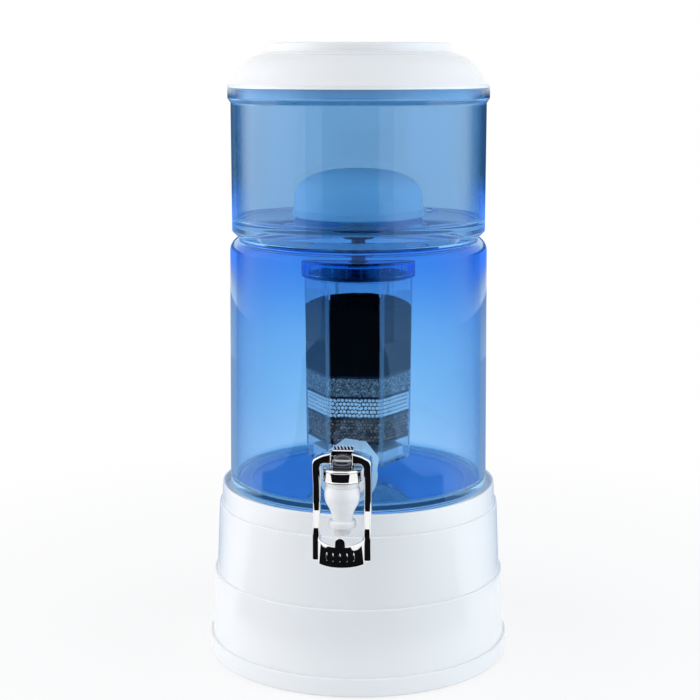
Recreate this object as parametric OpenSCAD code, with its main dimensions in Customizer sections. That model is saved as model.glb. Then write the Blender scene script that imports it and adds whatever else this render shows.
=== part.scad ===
// Gravity water filter with a push tap.
// A white stand carries a blue glass tank. A clear blue plastic tank sits in the glass tank's mouth,
// under a white lid. Water seeps through a ceramic dome, then through a cartridge of filter beds that
// hangs from the dome's stem, and collects in the glass tank. A lever tap draws it off.
// Millimetres. The origin is on the tank axis at the floor, +Z is up and the tap faces -Y.

/* [Stand] */
// Height of the stand, from the floor to the top of its rim
stand_h = 156.5; // [150:0.5:170]
// Wall thickness of the stand
stand_wall = 3; // [2.4:0.1:3.6]
// Draft of the stand's wall from rim to foot, without the ledges
stand_flare = 6.7; // [4:0.1:9]
// How far each ledge steps out
ledge_step = 2.3; // [1.4:0.1:3]
// Rounding of each ledge's edge
ledge_round = 1.2; // [0.6:0.1:1.3]
// Height of the low ledge
low_ledge_z = 17; // [13:0.5:24]
// Height of the middle ledge
mid_ledge_z = 76; // [60:1:90]
// Height of the top ledge
top_ledge_z = 138; // [120:0.5:140]
// Depth of the seat that the glass tank stands in
seat_depth = 5.5; // [4:0.5:8]
// Gap between the glass tank and the stand's rim
seat_gap = 4.2; // [3:0.1:6]
// Thickness of the deck under the glass tank
deck_t = 3.5; // [2.5:0.1:5]
// Number of ribs under the deck
deck_ribs = 8; // [6:1:12]
// Depth of the ribs under the deck
rib_h = 24; // [15:1:35]
// Thickness of the ribs
rib_t = 2.4; // [1.8:0.1:3]
// Radius of each rubber foot
foot_r = 8; // [6:0.5:9]
// Thickness of each rubber foot
foot_t = 3; // [2:0.5:4]
// How far the feet stand proud of the stand
foot_proud = 1; // [0.5:0.1:1.5]
// Thickness of the silicone ring under the glass tank
pad_t = 1.5; // [1:0.1:2.5]

/* [Glass tank] */
// Outer radius of the glass tank at its foot
tank_foot_r = 115.2; // [114.6:0.1:118]
// Outer radius of the glass tank below its shoulder
tank_top_r = 113; // [111.5:0.1:114.5]
// Overall height of the glass tank
tank_h = 224.5; // [215:0.5:240]
// Wall thickness of the glass tank
tank_wall = 5; // [4:0.1:6]
// Thickness of the glass tank's floor
tank_floor_t = 8; // [5:0.5:9]
// Radius of the glass tank's rounded shoulder
shoulder_r = 12; // [11:0.5:14]
// Rounding of the glass tank's foot
tank_foot_round = 6; // [3:0.5:8]
// Rounding between the glass tank's floor and wall
tank_fillet = 5; // [3:0.5:6]

/* [Upper tank] */
// Outer radius of the upper tank's wall
upper_r = 111.2; // [109:0.1:112.2]
// Wall thickness of the upper tank
upper_wall = 3.4; // [2.4:0.1:4]
// Height of the upper tank, from its seat on the glass to the top of its rim
upper_h = 128.8; // [118:0.2:150]
// Radius of the spigot that drops into the glass tank's mouth
spigot_r = 103.1; // [102.4:0.1:104]
// Wall thickness of the spigot
spigot_wall = 2.8; // [2:0.1:3.5]
// How far the spigot drops below the seat
spigot_drop = 6; // [4:0.5:9]
// Gap between the spigot and the glass tank's mouth
mouth_gap = 0.7; // [0.4:0.1:1]
// Height of the chamfer between the seat and the wall
skirt_h = 5.5; // [4:0.5:7]
// Height of the upper tank's floor above the seat
upper_floor_up = 15; // [12:0.5:20]
// Thickness of the upper tank's floor
upper_floor_t = 4; // [3:0.1:5]
// Rounding between the upper tank's floor and wall
upper_fillet = 4; // [2:0.5:6]
// How far the rim band stands out from the wall
rim_out = 2.6; // [1.5:0.1:3.2]
// Height of the rim band
rim_h = 9; // [6:0.5:12]
// Height of the slope below the rim band
rim_slope_h = 5; // [3:0.5:8]

/* [Lid] */
// Height of the lid above the upper tank's rim
lid_h = 38; // [34:0.5:44]
// Radius of the raised disc on top of the lid
disc_r = 80.1; // [70:0.5:84]
// Height of the raised disc's side
disc_h = 7.9; // [5:0.1:10]
// Wall thickness of the lid
lid_wall = 2.6; // [2:0.1:3.2]
// How far the lid's skirt reaches into the upper tank
lid_skirt = 8; // [5:0.5:12]
// Gap between the lid's skirt and the upper tank's wall
lid_gap = 0.8; // [0.5:0.1:1.5]
// Height of the lid's bottom flange
lid_flange_h = 2.4; // [1.6:0.1:4]

/* [Dome filter] */
// Radius of the ceramic dome
dome_r = 56.7; // [50:0.5:62]
// Height of the ceramic dome above its plate
dome_h = 35; // [30:1:50]
// Height of the dome's straight side
dome_side_h = 6; // [3:1:15]
// Wall thickness of the ceramic dome
dome_wall = 7; // [5:0.5:9]
// How square the dome's shoulder is: 2 is an ellipse
dome_power = 2.6; // [2:0.1:3]
// Thickness of the plate under the dome
plate_t = 6.5; // [5:0.5:9]
// Radius of the threaded stem
stem_r = 6.2; // [5.5:0.1:7]
// Radius of the water way through the stem
stem_bore_r = 3.2; // [2.5:0.1:3.6]
// Thickness of the silicone washer under the plate
dome_washer_t = 1.5; // [1:0.1:2.5]
// Height of the nut under the upper tank's floor
stem_nut_h = 10; // [7:0.5:12]
// Width of the nut across its flats
stem_nut_af = 24; // [20:0.5:28]

/* [Cartridge] */
// Distance from the upper tank's floor down to the top of the cartridge cap
cap_drop = 35; // [31:0.5:42]
// Radius of the cartridge cap
cap_r = 50.4; // [49.8:0.1:54]
// Height of the cartridge cap
cap_h = 15; // [14:0.5:18]
// Wall thickness of the cap
cap_wall = 2.4; // [2:0.1:2.6]
// Length of the cap's threaded hub
hub_h = 12; // [10:0.5:13]
// Corner radius of the six-sided housing at its top
cart_top_r = 49; // [47:0.1:49.4]
// Corner radius of the six-sided housing at its bottom
cart_low_r = 47.4; // [45:0.1:48.5]
// Width of the flat on each corner of the housing
cart_chamfer = 2; // [1:0.1:4]
// Height of the six-sided housing below the cap
cart_h = 164; // [160:1:175]
// Wall thickness of the housing
cart_wall = 2; // [1.5:0.1:2.4]
// Height of the clear chamber at the bottom of the housing
outlet_h = 19; // [14:0.5:24]
// Height of the dark ball bed
dark_h = 20; // [15:0.5:24]
// Height of the white ball bed
white_h = 17; // [12:0.5:21]
// Height of the mineral granule bed
mineral_h = 16; // [12:0.5:20]
// Height of the carbon bed
carbon_h = 66; // [56:0.5:76]
// How far the carbon's heap falls towards the housing's corners
carbon_fall = 6; // [2:0.5:10]
// Thickness of each screen between the beds
screen_t = 2; // [1.2:0.1:2.5]

/* [Tap] */
// Distance from the tank axis to the tap's upright axis
tap_reach = 162; // [158:0.5:168]
// Height of the tap's shank above the glass tank's floor
tap_up = 25.5; // [25.3:0.1:32]
// Radius of the threaded shank
shank_r = 9; // [8:0.1:9.5]
// Radius of the water way through the shank
inlet_r = 5; // [4:0.1:5.5]
// Radius of the tap's flange
flange_r = 16; // [14:0.5:18]
// Thickness of the tap's flange
flange_t = 4; // [3:0.5:5]
// Thickness of the outer washer over the tank's crown
outer_washer_t = 3.6; // [3:0.1:5]
// Thickness of the inner washer at its middle
inner_washer_t = 4.5; // [4:0.1:5.5]
// Width of the octagonal nut across its flats
nut_af = 44; // [38:0.5:44.2]
// Length of the octagonal nut
nut_l = 39; // [30:1:44]
// Widest radius of the tap's bulb
bulb_r = 14.6; // [14:0.1:15]
// Radius of the spout's outlet
outlet_r = 4; // [3:0.1:4.4]
// Radius of the chrome bonnet
bonnet_r = 15.2; // [14.8:0.1:16]
// Height of the chrome bonnet
bonnet_h = 15; // [13:0.5:17]
// Radius of the plunger's rod
rod_r = 3.5; // [2.5:0.1:4]

/* [Lever] */
// Half of the lever's width across its arms
lever_half_w = 23.6; // [22.5:0.1:26]
// Width of each lever arm
arm_w = 6; // [4.5:0.1:6.2]
// Height of the lever's arch above the bonnet
arch_h = 13.3; // [12:0.1:16]
// Height of the thumb shield
shield_h = 18; // [14:0.5:22]
// Drop from the pin to the bottom of the thumb shield
shield_drop = 82; // [78:1:92]
// Thickness of the thumb shield
shield_t = 2.4; // [1.8:0.1:3]
// Height of the pin above the bonnet
pin_up = 4.3; // [4:0.1:6]
// Radius of the lever's pin
pin_r = 1.5; // [1:0.1:1.8]

/* [Hidden] */
$fn = 96;

// Fits
run_fit = 0.05;     // radial clearance of a pin or a thread that turns
still_fit = 0.1;    // clearance between pieces that are fixed together
loose_fit = 0.3;    // clearance between pieces that move apart

// Heights, from the floor up
deck_z = stand_h - seat_depth;
tank_z = deck_z + pad_t;
tank_floor_z = tank_z + tank_floor_t;
tank_top_z = tank_z + tank_h;
seat_z = tank_top_z;
upper_floor_z = seat_z + upper_floor_up;
upper_top_z = seat_z + upper_h;
rim_z = upper_top_z - rim_h;
lid_top_z = upper_top_z + lid_h;
plate_z = upper_floor_z + dome_washer_t;
dome_z = plate_z + plate_t;
stem_nut_z = upper_floor_z - upper_floor_t - stem_nut_h;
cap_top_z = upper_floor_z - cap_drop;
cap_low_z = cap_top_z - cap_h;
hub_z = cap_top_z - hub_h;
stem_end_z = hub_z + 1;
cart_top_z = cap_low_z - still_fit;
cart_low_z = cart_top_z - cart_h;
outlet_z = cart_low_z + cart_wall;
tap_z = tank_floor_z + tap_up;

// Radii
stand_top_r = tank_foot_r + seat_gap + stand_wall;
stand_foot_r = stand_top_r + 3 * ledge_step + stand_flare;
rim_in_r = tank_foot_r + seat_gap;
mouth_r = spigot_r + mouth_gap;
rim_r = upper_r + rim_out;
upper_in_r = upper_r - upper_wall;
lid_skirt_r = upper_in_r - lid_gap;

// Tap stations, along Y
tap_y = -tap_reach;
tank_mid_r = tank_r(tap_z);
flange_face_y = -(tank_mid_r + outer_washer_t);
nut_face_y = -(tank_mid_r - tank_wall - inner_washer_t);
nut_end_y = nut_face_y + nut_l;
shank_end_y = nut_end_y - 3;
hole_r = shank_r + 0.6;

// Tap stations, up its own axis, counted from the shank
bonnet_z = tap_z + 7.3;
bonnet_top_z = bonnet_z + bonnet_h;
bonnet_cap_t = 3.6;
bead_down = 27.7;
bead_z = tap_z - bead_down;
bead_h = 6.7;
bead_r = 11.2;
nozzle_down = 33.6;
nozzle_z = tap_z - nozzle_down;
nozzle_r = 6.8;
neck_r = 8.6;
seat_low_down = 23;
seat_top_down = 15;
seat_low_z = tap_z - seat_low_down;
seat_top_z = tap_z - seat_top_down;
cup_r = 8.2;
cavity_r = 10.4;
collar_r = 12.8;
pin_z = bonnet_top_z + pin_up;

// ---- Curves ----

// Points on an arc round [cx, cy], from angle a to angle b.
function arc(cx, cy, r, a, b, steps = 8) =
    [for (i = [0:steps]) let (t = a + (b - a) * i / steps) [cx + r * cos(t), cy + r * sin(t)]];

// Points on a cubic curve with end points p and s and handles q and r.
function curve(p, q, r, s, steps = 12) =
    [for (i = [0:steps]) let (t = i / steps, u = 1 - t)
        u * u * u * p + 3 * u * u * t * q + 3 * u * t * t * r + t * t * t * s];

// Unit normal to the left of the way from a to b.
function left_of(a, b) = let (d = (b - a) / norm(b - a)) [-d[1], d[0]];

// A path moved to its left by t, keeping the wall's thickness at each corner.
function beside(path, t) = let (n = len(path) - 1)
    [for (i = [0:n])
        let (m = i == 0 ? left_of(path[0], path[1])
               : i == n ? left_of(path[n - 1], path[n])
               : left_of(path[i - 1], path[i]) + left_of(path[i], path[i + 1]))
        path[i] + t * m / (m * m) * (i == 0 || i == n ? 1 : 2)];

// The same points in the opposite order.
function backwards(path) = [for (i = [len(path) - 1:-1:0]) path[i]];

// A cylinder along Y from y0 to y1, at the shank's height.
module shank_rod(y0, y1, r0, r1) {
    translate([0, y0, tap_z])
        rotate([-90, 0, 0])
            cylinder(h = y1 - y0, r1 = r0, r2 = r1);
}

// ---- Stand ----

// Outer radius of the stand's wall at height z, where `steps` ledges lie above.
function stand_r(z, steps) =
    stand_top_r + steps * ledge_step + stand_flare * (stand_h - z) / stand_h;

// One ledge, from the wall above it to the wall below it.
function ledge(z, steps) = concat(
    [[stand_r(z, steps), z + 0.01]],
    arc(stand_r(z, steps) + ledge_step - ledge_round, z - ledge_round, ledge_round, 90, 0, 6));

// The same ledge inside the wall.
function inner_ledge(z, steps) = [
    [stand_r(z, steps) + ledge_step - stand_wall, z - stand_wall],
    [stand_r(z, steps) - stand_wall, z - stand_wall]];

// Outer outline of the stand, from the rim's inner edge down to the foot.
stand_rim_round = 1.4;
stand_outline = concat(
    arc(rim_in_r + stand_rim_round, stand_h - stand_rim_round, stand_rim_round, 180, 90, 5),
    arc(stand_top_r - stand_rim_round, stand_h - stand_rim_round, stand_rim_round, 90, 0, 5),
    ledge(top_ledge_z, 0),
    ledge(mid_ledge_z, 1),
    ledge(low_ledge_z, 2),
    arc(stand_foot_r - 2, foot_proud + 2, 2, 0, -90, 5));

module stand_shell() {
    rotate_extrude($fn = 180)
        polygon(concat(
            stand_outline,
            [[stand_foot_r - stand_wall, foot_proud]],
            inner_ledge(low_ledge_z, 2),
            inner_ledge(mid_ledge_z, 1),
            inner_ledge(top_ledge_z, 0),
            [[stand_r(deck_z, 0) - stand_wall - 0.5, deck_z - deck_t],
             [0, deck_z - deck_t], [0, deck_z], [rim_in_r, deck_z]]));
}

// The stand as if it were solid, to trim what is joined to its wall.
module stand_block() {
    rotate_extrude($fn = 180)
        polygon(concat([[0, stand_h - stand_rim_round]], stand_outline, [[0, foot_proud]]));
}

foot_boss_r = foot_r + 2;
foot_boss_h = 12;
foot_ring_r = stand_foot_r - stand_wall - foot_r - 0.5;

module at_each_foot() {
    for (turn = [45:90:315])
        rotate(turn)
            translate([foot_ring_r, 0, 0])
                children();
}

module base_stand() {
    rib_z = deck_z - deck_t - rib_h;
    hub_ring_r = 22;
    color([0.93, 0.94, 0.95]) {
        difference() {
            union() {
                stand_shell();
                intersection() {
                    stand_block();
                    union() {
                        for (i = [0:deck_ribs - 1])
                            rotate(i * 360 / deck_ribs)
                                translate([hub_ring_r - rib_t, -rib_t / 2, rib_z])
                                    cube([stand_foot_r, rib_t, rib_h + deck_t / 2]);
                        translate([0, 0, rib_z])
                            difference() {
                                cylinder(h = rib_h + deck_t / 2, r = hub_ring_r);
                                translate([0, 0, -1])
                                    cylinder(h = rib_h + 1, r = hub_ring_r - rib_t);
                            }
                        at_each_foot() {
                            translate([0, 0, foot_proud])
                                cylinder(h = foot_boss_h, r = foot_boss_r);
                            translate([0, -rib_t / 2, foot_proud])
                                cube([foot_boss_r + stand_wall, rib_t, foot_boss_h]);
                        }
                    }
                }
            }
            at_each_foot()
                translate([0, 0, -1])
                    cylinder(h = foot_t + 1, r = foot_r);
        }
    }
}

module base_feet() {
    color([0.25, 0.26, 0.27])
        at_each_foot()
            rotate_extrude()
                polygon([[0, 0], [foot_r - 1, 0], [foot_r, 1], [foot_r, foot_t], [0, foot_t]]);
}

module base_pad() {
    pad_out_r = tank_foot_r - tank_foot_round - 1;
    pad_w = 12;
    color([0.8, 0.84, 0.88])
        translate([0, 0, deck_z])
            difference() {
                cylinder(h = pad_t, r = pad_out_r);
                translate([0, 0, -1])
                    cylinder(h = pad_t + 2, r = pad_out_r - pad_w);
            }
}

// ---- Glass tank ----

// Outer radius of the glass tank's wall at height z.
function tank_r(z) = let (low = tank_z + tank_foot_round, high = tank_top_z - shoulder_r)
    tank_foot_r + (tank_top_r - tank_foot_r) * (z - low) / (high - low);

shoulder_c = tank_top_r - shoulder_r;
tank_outer = concat(
    arc(tank_foot_r - tank_foot_round, tank_z + tank_foot_round, tank_foot_round, -90, 0),
    arc(shoulder_c, tank_top_z - shoulder_r, shoulder_r, 0, acos((mouth_r - shoulder_c) / shoulder_r)));
shoulder_in_r = shoulder_r - tank_wall;
tank_inner = concat(
    arc(shoulder_c, tank_top_z - shoulder_r, shoulder_in_r, acos((mouth_r - shoulder_c) / shoulder_in_r), 0),
    arc(tank_foot_r - tank_wall - tank_fillet, tank_floor_z + tank_fillet, tank_fillet, 0, -90));

// A solid with one of the tank's outlines, moved outward by `out`.
module tank_block(outline, out) {
    rotate_extrude($fn = 180)
        polygon(concat([[0, outline[0][1]]], [for (p = outline) [p[0] + out, p[1]]],
                       [[0, outline[len(outline) - 1][1]]]));
}

module glass_tank() {
    color([0.25, 0.5, 0.85, 0.4])
        difference() {
            rotate_extrude($fn = 180)
                polygon(concat([[0, tank_z]], tank_outer, tank_inner, [[0, tank_floor_z]]));
            shank_rod(-tank_foot_r - 5, 0, hole_r, hole_r);
        }
}

// ---- Tap, fixed pieces ----

module tap_outer_washer() {
    color([0.85, 0.87, 0.9, 0.8])
        difference() {
            shank_rod(flange_face_y, -tank_mid_r + 4, flange_r - 0.5, flange_r - 0.5);
            tank_block(tank_outer, still_fit);
            shank_rod(flange_face_y - 1, 0, shank_r + still_fit, shank_r + still_fit);
        }
}

module tap_inner_washer() {
    washer_r = nut_af / 2 - 2;
    color([0.85, 0.87, 0.9, 0.8])
        difference() {
            intersection() {
                shank_rod(-tank_foot_r, nut_face_y, washer_r, washer_r);
                tank_block(backwards(tank_inner), -still_fit);
            }
            shank_rod(-tank_foot_r - 1, nut_face_y + 1, shank_r + still_fit, shank_r + still_fit);
        }
}

// A long eight-sided nut with a round flange against the washer.
module tap_nut() {
    nut_turn = 8;
    nut_flange_t = 3;
    side_r = nut_af / 2 / cos(22.5);
    rim_w = 2.4;
    recess = 4;
    color([0.92, 0.94, 0.96])
        difference() {
            union() {
                translate([0, nut_face_y, tap_z])
                    rotate([-90, 0, 0])
                        rotate(22.5 + nut_turn)
                            cylinder(h = nut_l, r = side_r, $fn = 8);
                shank_rod(nut_face_y, nut_face_y + nut_flange_t, side_r + 0.4, side_r + 0.4);
            }
            shank_rod(nut_face_y - 1, nut_end_y + 1, shank_r + run_fit, shank_r + run_fit);
            shank_rod(nut_end_y - recess, nut_end_y + 1, nut_af / 2 - rim_w - 2, nut_af / 2 - rim_w);
        }
}

// Outer outline of the bulb and spout, from the nozzle up to the collar inside the bonnet.
bulb_z = tap_z - 1;
bulb_swell = 10;
bulb_outline = concat(
    [[0, nozzle_z], [nozzle_r - 0.8, nozzle_z], [nozzle_r, nozzle_z + 0.8], [nozzle_r, bead_z - 0.6]],
    arc(bead_r - 1.8, bead_z + 1.8, 1.8, -90, 0, 4),
    arc(bead_r - 2.6, bead_z + bead_h - 2.6, 2.6, 0, 90, 4),
    curve([neck_r, bead_z + bead_h + 1.5], [neck_r + 0.4, bulb_z - bulb_swell],
          [bulb_r, bulb_z - bulb_swell + 2], [bulb_r, bulb_z], 10),
    curve([bulb_r, bulb_z], [bulb_r, bulb_z + 3.4], [bulb_r - 0.5, bonnet_z - 2],
          [bulb_r - 1.5, bonnet_z - 0.4], 5),
    [[collar_r, bonnet_z - 0.4], [collar_r, bonnet_top_z - bonnet_cap_t - 0.6],
     [0, bonnet_top_z - bonnet_cap_t - 0.6]]);

module tap_body() {
    fine_r = shank_r - 1.8;
    color([0.95, 0.95, 0.96])
        difference() {
            union() {
                translate([0, tap_y, 0])
                    rotate_extrude()
                        polygon(bulb_outline);
                shank_rod(tap_y, flange_face_y - flange_t, fine_r - 0.4, fine_r);
                shank_rod(flange_face_y - flange_t - 3, flange_face_y - flange_t, fine_r, flange_r - 3);
                shank_rod(flange_face_y - flange_t, flange_face_y - 1.2, flange_r - 1, flange_r);
                shank_rod(flange_face_y - 1.2, flange_face_y, flange_r, flange_r);
                shank_rod(flange_face_y, shank_end_y, shank_r, shank_r);
            }
            translate([0, tap_y, 0])
                rotate_extrude()
                    polygon([[0, nozzle_z - 1], [outlet_r, nozzle_z - 1], [outlet_r, seat_low_z],
                             [cup_r + 0.5, seat_top_z], [cavity_r, tap_z - 6],
                             [cavity_r, bonnet_top_z], [0, bonnet_top_z]]);
            shank_rod(tap_y, shank_end_y + 1, inlet_r, inlet_r);
        }
}

// The bonnet screws over the collar of the bulb and guides the plunger's rod.
module tap_bonnet() {
    edge = 1.2;
    lip = 0.8;
    color([0.82, 0.83, 0.85])
        translate([0, tap_y, 0])
            rotate_extrude()
                polygon([[rod_r + run_fit, bonnet_top_z - bonnet_cap_t],
                         [collar_r + still_fit, bonnet_top_z - bonnet_cap_t],
                         [collar_r + still_fit, bonnet_z],
                         [bonnet_r - lip, bonnet_z],
                         [bonnet_r, bonnet_z + lip],
                         [bonnet_r, bonnet_z + 2],
                         [bonnet_r - 0.5, bonnet_z + 2.6],
                         [bonnet_r - 0.5, bonnet_top_z - edge - 2],
                         [bonnet_r, bonnet_top_z - edge - 1.4],
                         [bonnet_r, bonnet_top_z - edge],
                         [bonnet_r - edge, bonnet_top_z],
                         [rod_r + run_fit, bonnet_top_z]]);
}

// ---- Tap, moving pieces ----

cup_z = seat_low_z + loose_fit + 0.2;
cup_top_z = seat_top_z + 1.5;
cup_plug_r = outlet_r - 0.3;
rod_end_z = seat_top_z - 4;

// The soft cup on the rod's end, which closes the way to the spout.
module tap_seat_cup() {
    slope = (cup_r + 0.5 - outlet_r) / (seat_top_z - seat_low_z);
    grip_r = rod_r + 1.2;
    color([0.9, 0.9, 0.88])
        translate([0, tap_y, 0])
            difference() {
                rotate_extrude()
                    polygon([[0, cup_z], [cup_plug_r, cup_z],
                             [cup_plug_r + slope * (seat_top_z - cup_z) - 0.35, seat_top_z],
                             [cup_r - 0.2, cup_top_z], [0, cup_top_z]]);
                rotate_extrude()
                    polygon([[0, rod_end_z], [grip_r, rod_end_z], [grip_r, rod_end_z + 2],
                             [rod_r, rod_end_z + 2.6], [rod_r, cup_top_z + 1], [0, cup_top_z + 1]]);
            }
}

head_half_w = 7.6;
head_front = 7;
head_back = 5.2;
head_h = 8.7;

// The plunger: a rod with a barbed end for the cup, and a block head that the pin goes through.
module tap_stem() {
    head_z = bonnet_top_z + loose_fit;
    grip_r = rod_r + 1.2;
    dish_r = 17;
    dish_lean = 14;
    dish_depth = 2.2;
    color([0.3, 0.3, 0.33])
        translate([0, tap_y, 0])
            difference() {
                union() {
                    rotate_extrude()
                        polygon([[0, rod_end_z], [grip_r, rod_end_z], [grip_r, rod_end_z + 2],
                                 [rod_r, rod_end_z + 2.6], [rod_r, head_z + 1], [0, head_z + 1]]);
                    intersection() {
                        translate([-head_half_w, -head_front, head_z])
                            cube([2 * head_half_w, head_front + head_back, head_h]);
                        translate([-head_half_w, (head_back - head_front) / 2, head_z + head_h - 9.2])
                            rotate([0, 90, 0])
                                cylinder(h = 2 * head_half_w, r = 9.2);
                    }
                }
                translate([0, (head_back - head_front) / 2, head_z + head_h - dish_depth])
                    rotate([dish_lean, 0, 0])
                        translate([0, 0, dish_r])
                            sphere(r = dish_r);
                translate([-head_half_w - 1, 0, pin_z])
                    rotate([0, 90, 0])
                        cylinder(h = 2 * head_half_w + 2, r = pin_r);
            }
}

module lever_pin() {
    pin_half_l = head_half_w + 4.2;
    color([0.7, 0.71, 0.72])
        translate([-pin_half_l, tap_y, pin_z])
            rotate([0, 90, 0])
                cylinder(h = 2 * pin_half_l, r = pin_r);
}

// Points round a wire of radius w, at each station of a coil of radius r.
spring_turns = 7;
spring_r = 6.4;
spring_wire = 0.5;
spring_low_z = cup_top_z + spring_wire + 0.1;
spring_top_z = bonnet_top_z - bonnet_cap_t - spring_wire - 0.1;
spring_sides = 6;
spring_per_turn = 14;

module tap_spring() {
    stations = spring_turns * spring_per_turn;
    rise = (spring_top_z - spring_low_z) / stations;
    points = [for (i = [0:stations]) let (a = i * 360 / spring_per_turn)
        for (j = [0:spring_sides - 1]) let (b = j * 360 / spring_sides)
            [(spring_r + spring_wire * cos(b)) * cos(a), (spring_r + spring_wire * cos(b)) * sin(a),
             spring_low_z + i * rise + spring_wire * sin(b)]];
    sides = [for (i = [0:stations - 1]) for (j = [0:spring_sides - 1])
        let (k = (j + 1) % spring_sides, p = i * spring_sides)
            [p + j, p + spring_sides + j, p + spring_sides + k, p + k]];
    ends = [[for (j = [0:spring_sides - 1]) j],
            [for (j = [spring_sides - 1:-1:0]) stations * spring_sides + j]];
    color([0.75, 0.76, 0.78])
        translate([0, tap_y, 0])
            polyhedron(points = points, faces = concat(sides, ends), convexity = 10);
}

// ---- Lever ----

lever_front = 10;
lever_back = 11;
slot_half_w = head_half_w + 0.6;
cheek_t = 1.8;
heel_z = bonnet_top_z + loose_fit;
arch_z = bonnet_top_z + arch_h;
shield_z = pin_z - shield_drop;

// Front view of the lever: an arch over the bonnet and two straight arms.
module lever_front_view() {
    in_x = lever_half_w - arm_w;
    cheek_x = slot_half_w + cheek_t;
    under_z = heel_z + 5.5;
    under_r = 2.4;
    half_out = concat(
        [[lever_half_w - 1.5, shield_z], [lever_half_w, shield_z + 1.5]],
        curve([lever_half_w, arch_z - 10], [lever_half_w, arch_z - 6.4],
              [lever_half_w - 0.6, arch_z - 6], [lever_half_w - 4, arch_z - 4.6], 8),
        [[15, arch_z - 1.9], [slot_half_w + 1, arch_z - 0.1], [5, arch_z]]);
    half_in = concat(
        [[cheek_x, heel_z], [cheek_x, under_z]],
        arc(in_x - under_r, under_z - under_r, under_r, 90, 0, 6),
        [[in_x, shield_z - 1]]);
    difference() {
        polygon(concat(half_out, backwards([for (p = half_out) [-p[0], p[1]]])));
        polygon(concat(half_in, backwards([for (p = half_in) [-p[0], p[1]]])));
    }
}

// Side view of the lever: deep at the arch, slim down the arms, which step forward to the shield.
arm_front = 4;
arm_back = 4;
arm_step = 5;
bend_top_z = pin_z - 38.6;
bend_low_z = bend_top_z - 15.5;

module lever_side_view() {
    polygon(concat(
        curve([-arm_front, heel_z - 16], [-arm_front, heel_z - 8], [-lever_front, heel_z - 9],
              [-lever_front, heel_z], 6),
        curve([-lever_front, heel_z + 4], [-lever_front, arch_z - 1], [-lever_front + 3, arch_z + 1],
              [0, arch_z + 0.2], 6),
        [[lever_back, arch_z - 2.2], [lever_back, heel_z]],
        curve([lever_back, heel_z], [lever_back, heel_z - 8], [arm_back, heel_z - 8],
              [arm_back, heel_z - 18], 6),
        [[arm_back, bend_top_z], [arm_back - arm_step, bend_low_z],
         [arm_back - arm_step, shield_z], [-arm_front - arm_step, shield_z],
         [-arm_front - arm_step, bend_low_z], [-arm_front, bend_top_z]]));
}

// Ridged thumb rest that rises behind the arch.
module thumb_rest() {
    rest_half_w = 9;
    ridge_pitch = 2.7;
    groove_w = 1.3;
    difference() {
        translate([-rest_half_w, 0, 0])
            rotate([90, 0, 90])
                linear_extrude(height = 2 * rest_half_w)
                    polygon(concat(
                        [[lever_back - 4, arch_z - 5], [lever_back - 4, arch_z]],
                        arc(lever_back + 4.4, arch_z + 2.4, 1.8, 115, -60, 6),
                        [[lever_back - 0.5, arch_z - 5]]));
        for (i = [-2.5:1:2.5])
            translate([i * ridge_pitch - groove_w / 2, lever_back - 1, arch_z + 1.2])
                rotate([21, 0, 0])
                    cube([groove_w, 12, 8]);
    }
}

// Half-round shield between the arms, with a round-topped tab in its middle.
module lever_shield() {
    shield_r = lever_half_w - 1.6;
    shield_y = shield_r - lever_half_w;
    shield_half_w = lever_half_w - 4.7;
    end_w = 2.1;
    tab_half_w = 3.6;
    tab_h = 7.5;
    tab_z = shield_z + shield_h + tab_h - tab_half_w;
    intersection() {
        difference() {
            translate([0, shield_y, shield_z])
                cylinder(h = shield_h + tab_h, r = shield_r);
            translate([0, shield_y, shield_z - 1])
                cylinder(h = shield_h + tab_h + 2, r = shield_r - shield_t);
        }
        union() {
            translate([-shield_half_w, -lever_half_w - 1, shield_z])
                cube([2 * shield_half_w, lever_half_w - 11, shield_h]);
            translate([-tab_half_w, -lever_half_w - 1, shield_z])
                cube([2 * tab_half_w, shield_r / 2, tab_z - shield_z]);
            translate([0, -shield_r / 2, tab_z])
                rotate([90, 0, 0])
                    cylinder(h = shield_r, r = tab_half_w);
        }
    }
    for (side = [-1, 1])
        translate([side * (shield_half_w - end_w / 2) - end_w / 2, -12.6, shield_z])
            cube([end_w, 12.6 + arm_back - arm_step, shield_h]);
}

module tap_lever() {
    boss_r = 3.4;
    color([0.8, 0.81, 0.83])
        translate([0, tap_y, 0])
            difference() {
                union() {
                    intersection() {
                        translate([0, lever_back + 1, 0])
                            rotate([90, 0, 0])
                                linear_extrude(height = lever_front + lever_back + 2)
                                    lever_front_view();
                        translate([-lever_half_w - 1, 0, 0])
                            rotate([90, 0, 90])
                                linear_extrude(height = 2 * lever_half_w + 2)
                                    lever_side_view();
                    }
                    thumb_rest();
                    lever_shield();
                    for (side = [-1, 1])
                        translate([side * (slot_half_w + 2) - 2, 0, pin_z])
                            rotate([0, 90, 0])
                                cylinder(h = 4, r = boss_r);
                }
                translate([-slot_half_w, -lever_front - 1, heel_z - 1])
                    cube([2 * slot_half_w, lever_front + 1 + head_back + 2.3, arch_h + 10]);
                translate([-lever_half_w - 1, 0, pin_z])
                    rotate([0, 90, 0])
                        cylinder(h = 2 * lever_half_w + 2, r = pin_r + run_fit);
            }
}

// ---- Upper tank ----

seat_out_r = spigot_r + 2.5;

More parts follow.
